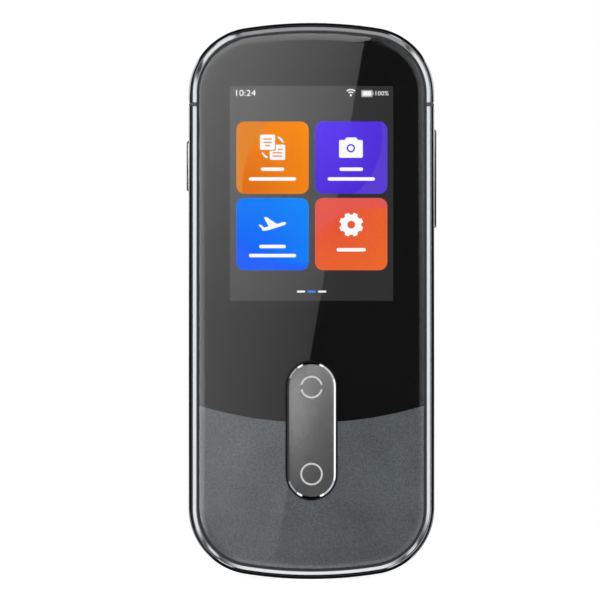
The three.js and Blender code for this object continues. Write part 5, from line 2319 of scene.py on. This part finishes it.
@dataclass(frozen=True)
class Sweep:
    """A soft light bent round the line of view, as a studio's bent light wall.

    A polished edge shows it along the part of its outline that the sweep lies over, so its
    two ends and its two rims land where the photograph's bright bands end. The glow runs
    from its near rim to its far rim. It dims to the share least over the angles fade at its
    start and end_fade, or else fade too, at its end, and to nothing over near_fade at its
    near rim.
    """

    name: str
    around: Spot
    off: Spot
    glow: Spot
    fade: float = 3.0
    near_fade: float = 0.0
    distance: float = 1000.0
    middle: Triple = (0.0, 0.0, 63.0)
    steps: int = 24
    rows: int = 6
    end_fade: float | None = None
    least: float = 0.0

    def hang(self) -> None:
        """Put the sweep up."""
        (start, end), (near, far) = self.around, self.off
        middle = Vector(self.middle)
        offs = [near + (far - near) * row / self.rows for row in range(self.rows + 1)]
        spots = [(middle + facing(start, off) * self.distance) * MM for off in offs]
        wall = draw(self.name, spots)
        with editing(wall, Kind.EDGES):
            bpy.ops.mesh.select_all(action="SELECT")
            bpy.ops.mesh.spin(
                steps=self.steps,
                angle=math.radians(end - start),
                center=middle * MM,
                axis=(0, 1, 0),
            )
        weld(wall)
        wall.data.materials.append(self.paint())
        wall.visible_camera = wall.visible_shadow = False

    def paint(self) -> bpy.types.Material:
        """Build the light's material: dim at the ends, and from one glow to the other.

        Returns:
            The material.
        """
        material = bpy.data.materials.new(f"light_{self.name}")
        material.use_nodes = True
        nodes = Nodes(material.node_tree)
        feeds = {0: nodes.place(), 1: tuple(Vector(self.middle) * MM)}
        spot = nodes.add("VectorMath", feeds, operation="SUBTRACT").outputs["Vector"]
        depth = nodes.add("VectorMath", {0: spot, 1: (0, -1, 0)}, operation="DOT_PRODUCT")
        feeds = {0: depth.outputs["Value"], 1: self.distance * MM}
        cosine = nodes.add("Math", feeds, operation="DIVIDE").outputs["Value"]
        off = nodes.add("Math", {0: cosine}, operation="ARCCOSINE").outputs["Value"]
        near, far = (math.radians(o) for o in self.off)
        feeds = {"Value": off, 1: near, 2: far, 3: self.glow[0], 4: self.glow[1]}
        glow = nodes.add("MapRange", feeds).outputs["Result"]
        if self.fade or self.end_fade:
            glow = self.dimmed(nodes, spot, glow)
        if self.near_fade:
            feeds = {"Value": off, 1: near, 2: near + math.radians(self.near_fade)}
            rise = nodes.add("MapRange", feeds, interpolation_type="SMOOTHSTEP").outputs["Result"]
            glow = nodes.times(glow, rise)
        light = nodes.add("Emission", {"Strength": glow})
        nodes.add("OutputMaterial", {"Surface": light.outputs["Emission"]})
        return material

    def dimmed(
        self, nodes: Nodes, spot: bpy.types.NodeSocket, glow: bpy.types.NodeSocket
    ) -> bpy.types.NodeSocket:
        """Dim the light towards its two ends.

        Args:
            nodes: The material's sheet.
            spot: The place seen from the sweep's centre.
            glow: The light so far.

        Returns:
            The dimmed light's socket.
        """
        centre, half = sum(self.around) / 2, (self.around[1] - self.around[0]) / 2
        sides = []
        for turn in (0, 90):
            feeds = {0: spot, 1: tuple(facing(centre + turn, 90))}
            sides.append(nodes.add("VectorMath", feeds, operation="DOT_PRODUCT").outputs["Value"])
        angle = nodes.add("Math", {0: sides[1], 1: sides[0]}, operation="ARCTAN2")
        end_fade = self.fade if self.end_fade is None else self.end_fade
        for side, fade in ((-1, self.fade), (1, end_fade)):
            if fade:
                feeds = {"Value": angle.outputs["Value"], 1: side * math.radians(half)}
                feeds |= {2: side * math.radians(half - fade), 3: self.least}
                share = nodes.add("MapRange", feeds, interpolation_type="SMOOTHSTEP")
                glow = nodes.times(glow, share.outputs["Result"])
        return glow


KEY_MIDDLE = (0.0, -6.3, 33.6)
EDGE_WALL, KEY_WALL, KEY_SHADE, KEY_GLINT, DIM_WALL = 980.0, 960.0, 955.0, 950.0, 1100.0
LIGHTS = (
    Card("glare_card", 168.7, 3.22, (150, 330), 2.35, 1195, -88.4, (0.31, 0.56), (0.27, 0.45)),
    Sweep("edge_light_side", (163, 206), (6.5, 19.2), (2.3, 5.5), 0.0, distance=EDGE_WALL),
    Sweep(
        "edge_light_low",
        (206, 232),
        (6.5, 19.2),
        (2.3, 5.5),
        fade=0.0,
        distance=EDGE_WALL,
        end_fade=25.0,
        least=0.11,
    ),
    Sweep("edge_light_corner", (106, 163), (7.3, 21.3), (2.0, 5.2), 0.0, distance=EDGE_WALL),
    Sweep("edge_light_top", (79.5, 106), (8, 23.4), (2.3, 4.7), 0.0, distance=EDGE_WALL),
    Sweep("edge_glow_right", (-45, 76), (8, 19.4), (0.15, 0.55), 0.0, distance=EDGE_WALL),
    Sweep("edge_glow_bottom", (-128, -45), (8, 15.5), (0.3, 0.6), 0.0, 3.5, EDGE_WALL),
    Sweep("right_sweep", (-37, 51), (18, 53), (1.25, 1.25), 26.0, end_fade=7.0, least=0.09),
    Sweep("left_sweep", (153, 221), (15.5, 55.5), (1.25, 1.25), 9.0, end_fade=16.0, least=0.09),
    Sweep("corner_sweep", (107, 144), (15.5, 56), (1.25, 1.25), 2.5),
    Sweep("top_sweep", (53, 106), (15.5, 56), (0.5, 0.5), 3.0),
    Sweep("bottom_sweep", (240, 303), (15.5, 56), (1.3, 1.3), 20.0, end_fade=17.0, least=0.09),
    Sweep("bottom_glint_left", (222, 239), (24, 50), (1.15, 1.15), 6.0, least=0.09),
    Sweep("bottom_glint_right", (304, 321), (24, 50), (1.15, 1.15), 6.0, least=0.09),
    Sweep("dim_surround", (0, 360), (15, 80), (0.065, 0.065), 0.0, 0.0, DIM_WALL, steps=60),
    Sweep("key_line", (-20, 20), (62.4, 66.2), (1.45, 1.45), 2.0, 0.0, KEY_WALL, KEY_MIDDLE),
    Sweep("key_line_above", (20, 60), (61.5, 67), (0.75, 0.75), 0.0, 0.0, KEY_WALL, KEY_MIDDLE),
    Sweep("key_line_below", (-60, -20), (63, 69.5), (0.75, 0.75), 0.0, 0.0, KEY_WALL, KEY_MIDDLE),
    Sweep("key_line_upper", (126, 160), (61.5, 67), (0.45, 0.45), 3.0, 0.0, KEY_WALL, KEY_MIDDLE),
    Sweep("key_line_lower", (200, 234), (63, 69.5), (0.45, 0.45), 3.0, 0.0, KEY_WALL, KEY_MIDDLE),
    *(
        Sweep(f"key_glint_{start}", (start, end), off, (1.6, 1.6), 2.0, 0.0, KEY_GLINT, KEY_MIDDLE)
        for start, end, off in (
            (59, 72, (61.5, 68)),
            (110, 126, (61.5, 68)),
            (234, 250, (64, 71)),
            (288, 301, (64, 71)),
        )
    ),
    Sweep("key_shade_top", (72, 110), (61, 72), (0.0, 0.0), 0.0, 0.0, KEY_SHADE, KEY_MIDDLE),
    Sweep("key_shade_bottom", (250, 288), (62, 73), (0.0, 0.0), 0.0, 0.0, KEY_SHADE, KEY_MIDDLE),
    Card("rear_card", 90, 168, (900, 900), 1.8, 1200),
    Card("rear_card_right", 20, 125, (500, 900), 0.9),
    Card("rear_card_left", 160, 125, (500, 900), 0.9),
    Card("side_card_right", -30, 128, (700, 700), 0.4),
    Card("side_card_left", 210, 128, (700, 700), 0.4),
)


@dataclass
class Studio:
    """The pale floor, the soft lights and the camera."""

    floor_reach: float = 900.0
    floor_drop: float = 0.02
    floor_near: float = 120.0
    floor_far: float = 300.0
    floor_grain: float = 3.0
    floor_paint: Spot = (0.78, 0.82)
    floor_glow: float = 0.82
    lens: float = 240.0
    sensor: float = 36.0
    clip: Spot = (0.01, 10.0)
    camera_place: Triple = (-2.6, -907.0, 63.0)
    gloom: float = 0.01

    def build(self) -> None:
        """Set the studio up."""
        for light in LIGHTS:
            light.hang()
        self.lay_floor()
        self.light_room()
        self.set_camera()

    def lay_floor(self) -> None:
        """Lay the floor, which fades into the white around it."""
        release()
        bpy.ops.mesh.primitive_circle_add(
            vertices=96,
            radius=self.floor_reach * MM,
            fill_type="NGON",
            location=(0, 0, -self.floor_drop * MM),
        )
        floor = named("studio_floor")
        material = bpy.data.materials.new("studio_floor_paint")
        material.use_nodes = True
        nodes = Nodes(material.node_tree)
        spot = nodes.place((1.0, 1.0, 0.0))
        reach = nodes.add("VectorMath", {0: spot}, operation="LENGTH").outputs["Value"]
        feeds = {"Value": reach, 1: self.floor_near * MM, 2: self.floor_far * MM}
        away = nodes.add("MapRange", feeds).outputs["Result"]
        grain = nodes.scaled(nodes.noise(self.floor_grain), 0.0, 1.0)
        greys = ((grey,) * 3 for grey in self.floor_paint)
        paint = nodes.add("BsdfDiffuse", {"Color": nodes.blend(grain, *greys)})
        seen = nodes.add("LightPath").outputs["Is Camera Ray"]
        shine = nodes.times(seen, self.floor_glow)
        lit = nodes.add("Emission", {"Color": (1, 1, 1, 1), "Strength": shine})
        both = nodes.add("AddShader", {0: paint.outputs["BSDF"], 1: lit.outputs["Emission"]})
        clear = nodes.add("BsdfTransparent")
        mixed = nodes.add(
            "MixShader", {0: away, 1: both.outputs["Shader"], 2: clear.outputs["BSDF"]}
        )
        nodes.add("OutputMaterial", {"Surface": mixed.outputs["Shader"]})
        floor.data.materials.append(material)
        floor.visible_glossy = False

    def light_room(self) -> None:
        """Make the room white to look at and dim to everything else."""
        room = bpy.data.worlds.new("studio_room")
        room.use_nodes = True
        nodes = Nodes(room.node_tree)
        seen = nodes.add("LightPath").outputs["Is Camera Ray"]
        colour = nodes.blend(seen, (self.gloom,) * 3, (1.0, 1.0, 1.0))
        back = nodes.add("Background", {"Color": colour, "Strength": 1.0})
        nodes.add("OutputWorld", {"Surface": back.outputs["Background"]})
        bpy.context.scene.world = room

    def set_camera(self) -> None:
        """Look straight at the front, as the photograph does."""
        release()
        bpy.ops.object.camera_add(
            location=Vector(self.camera_place) * MM, rotation=(QUARTER, 0, 0)
        )
        camera = bpy.context.active_object
        camera.name = camera.data.name = "studio_camera"
        camera.data.lens = self.lens
        camera.data.sensor_width = self.sensor
        camera.data.clip_start, camera.data.clip_end = self.clip
        bpy.context.scene.camera = camera


def main() -> None:
    """Build the translator, dress it and set up the studio."""
    logging.basicConfig(level=logging.INFO, format="%(name)s: %(message)s")
    groups = (
        TalkKey(),
        FrontGlass(),
        MetalFrame(),
        Inlays(),
        Casing(),
        SideKeys(),
        CameraIsland(),
        Display(),
        Internals(),
    )
    for group in groups:
        group.build()
        group.dress()
        group.report()
    Studio().build()
    bpy.context.scene.view_settings.view_transform = "Standard"


if __name__ == "__main__":
    main()
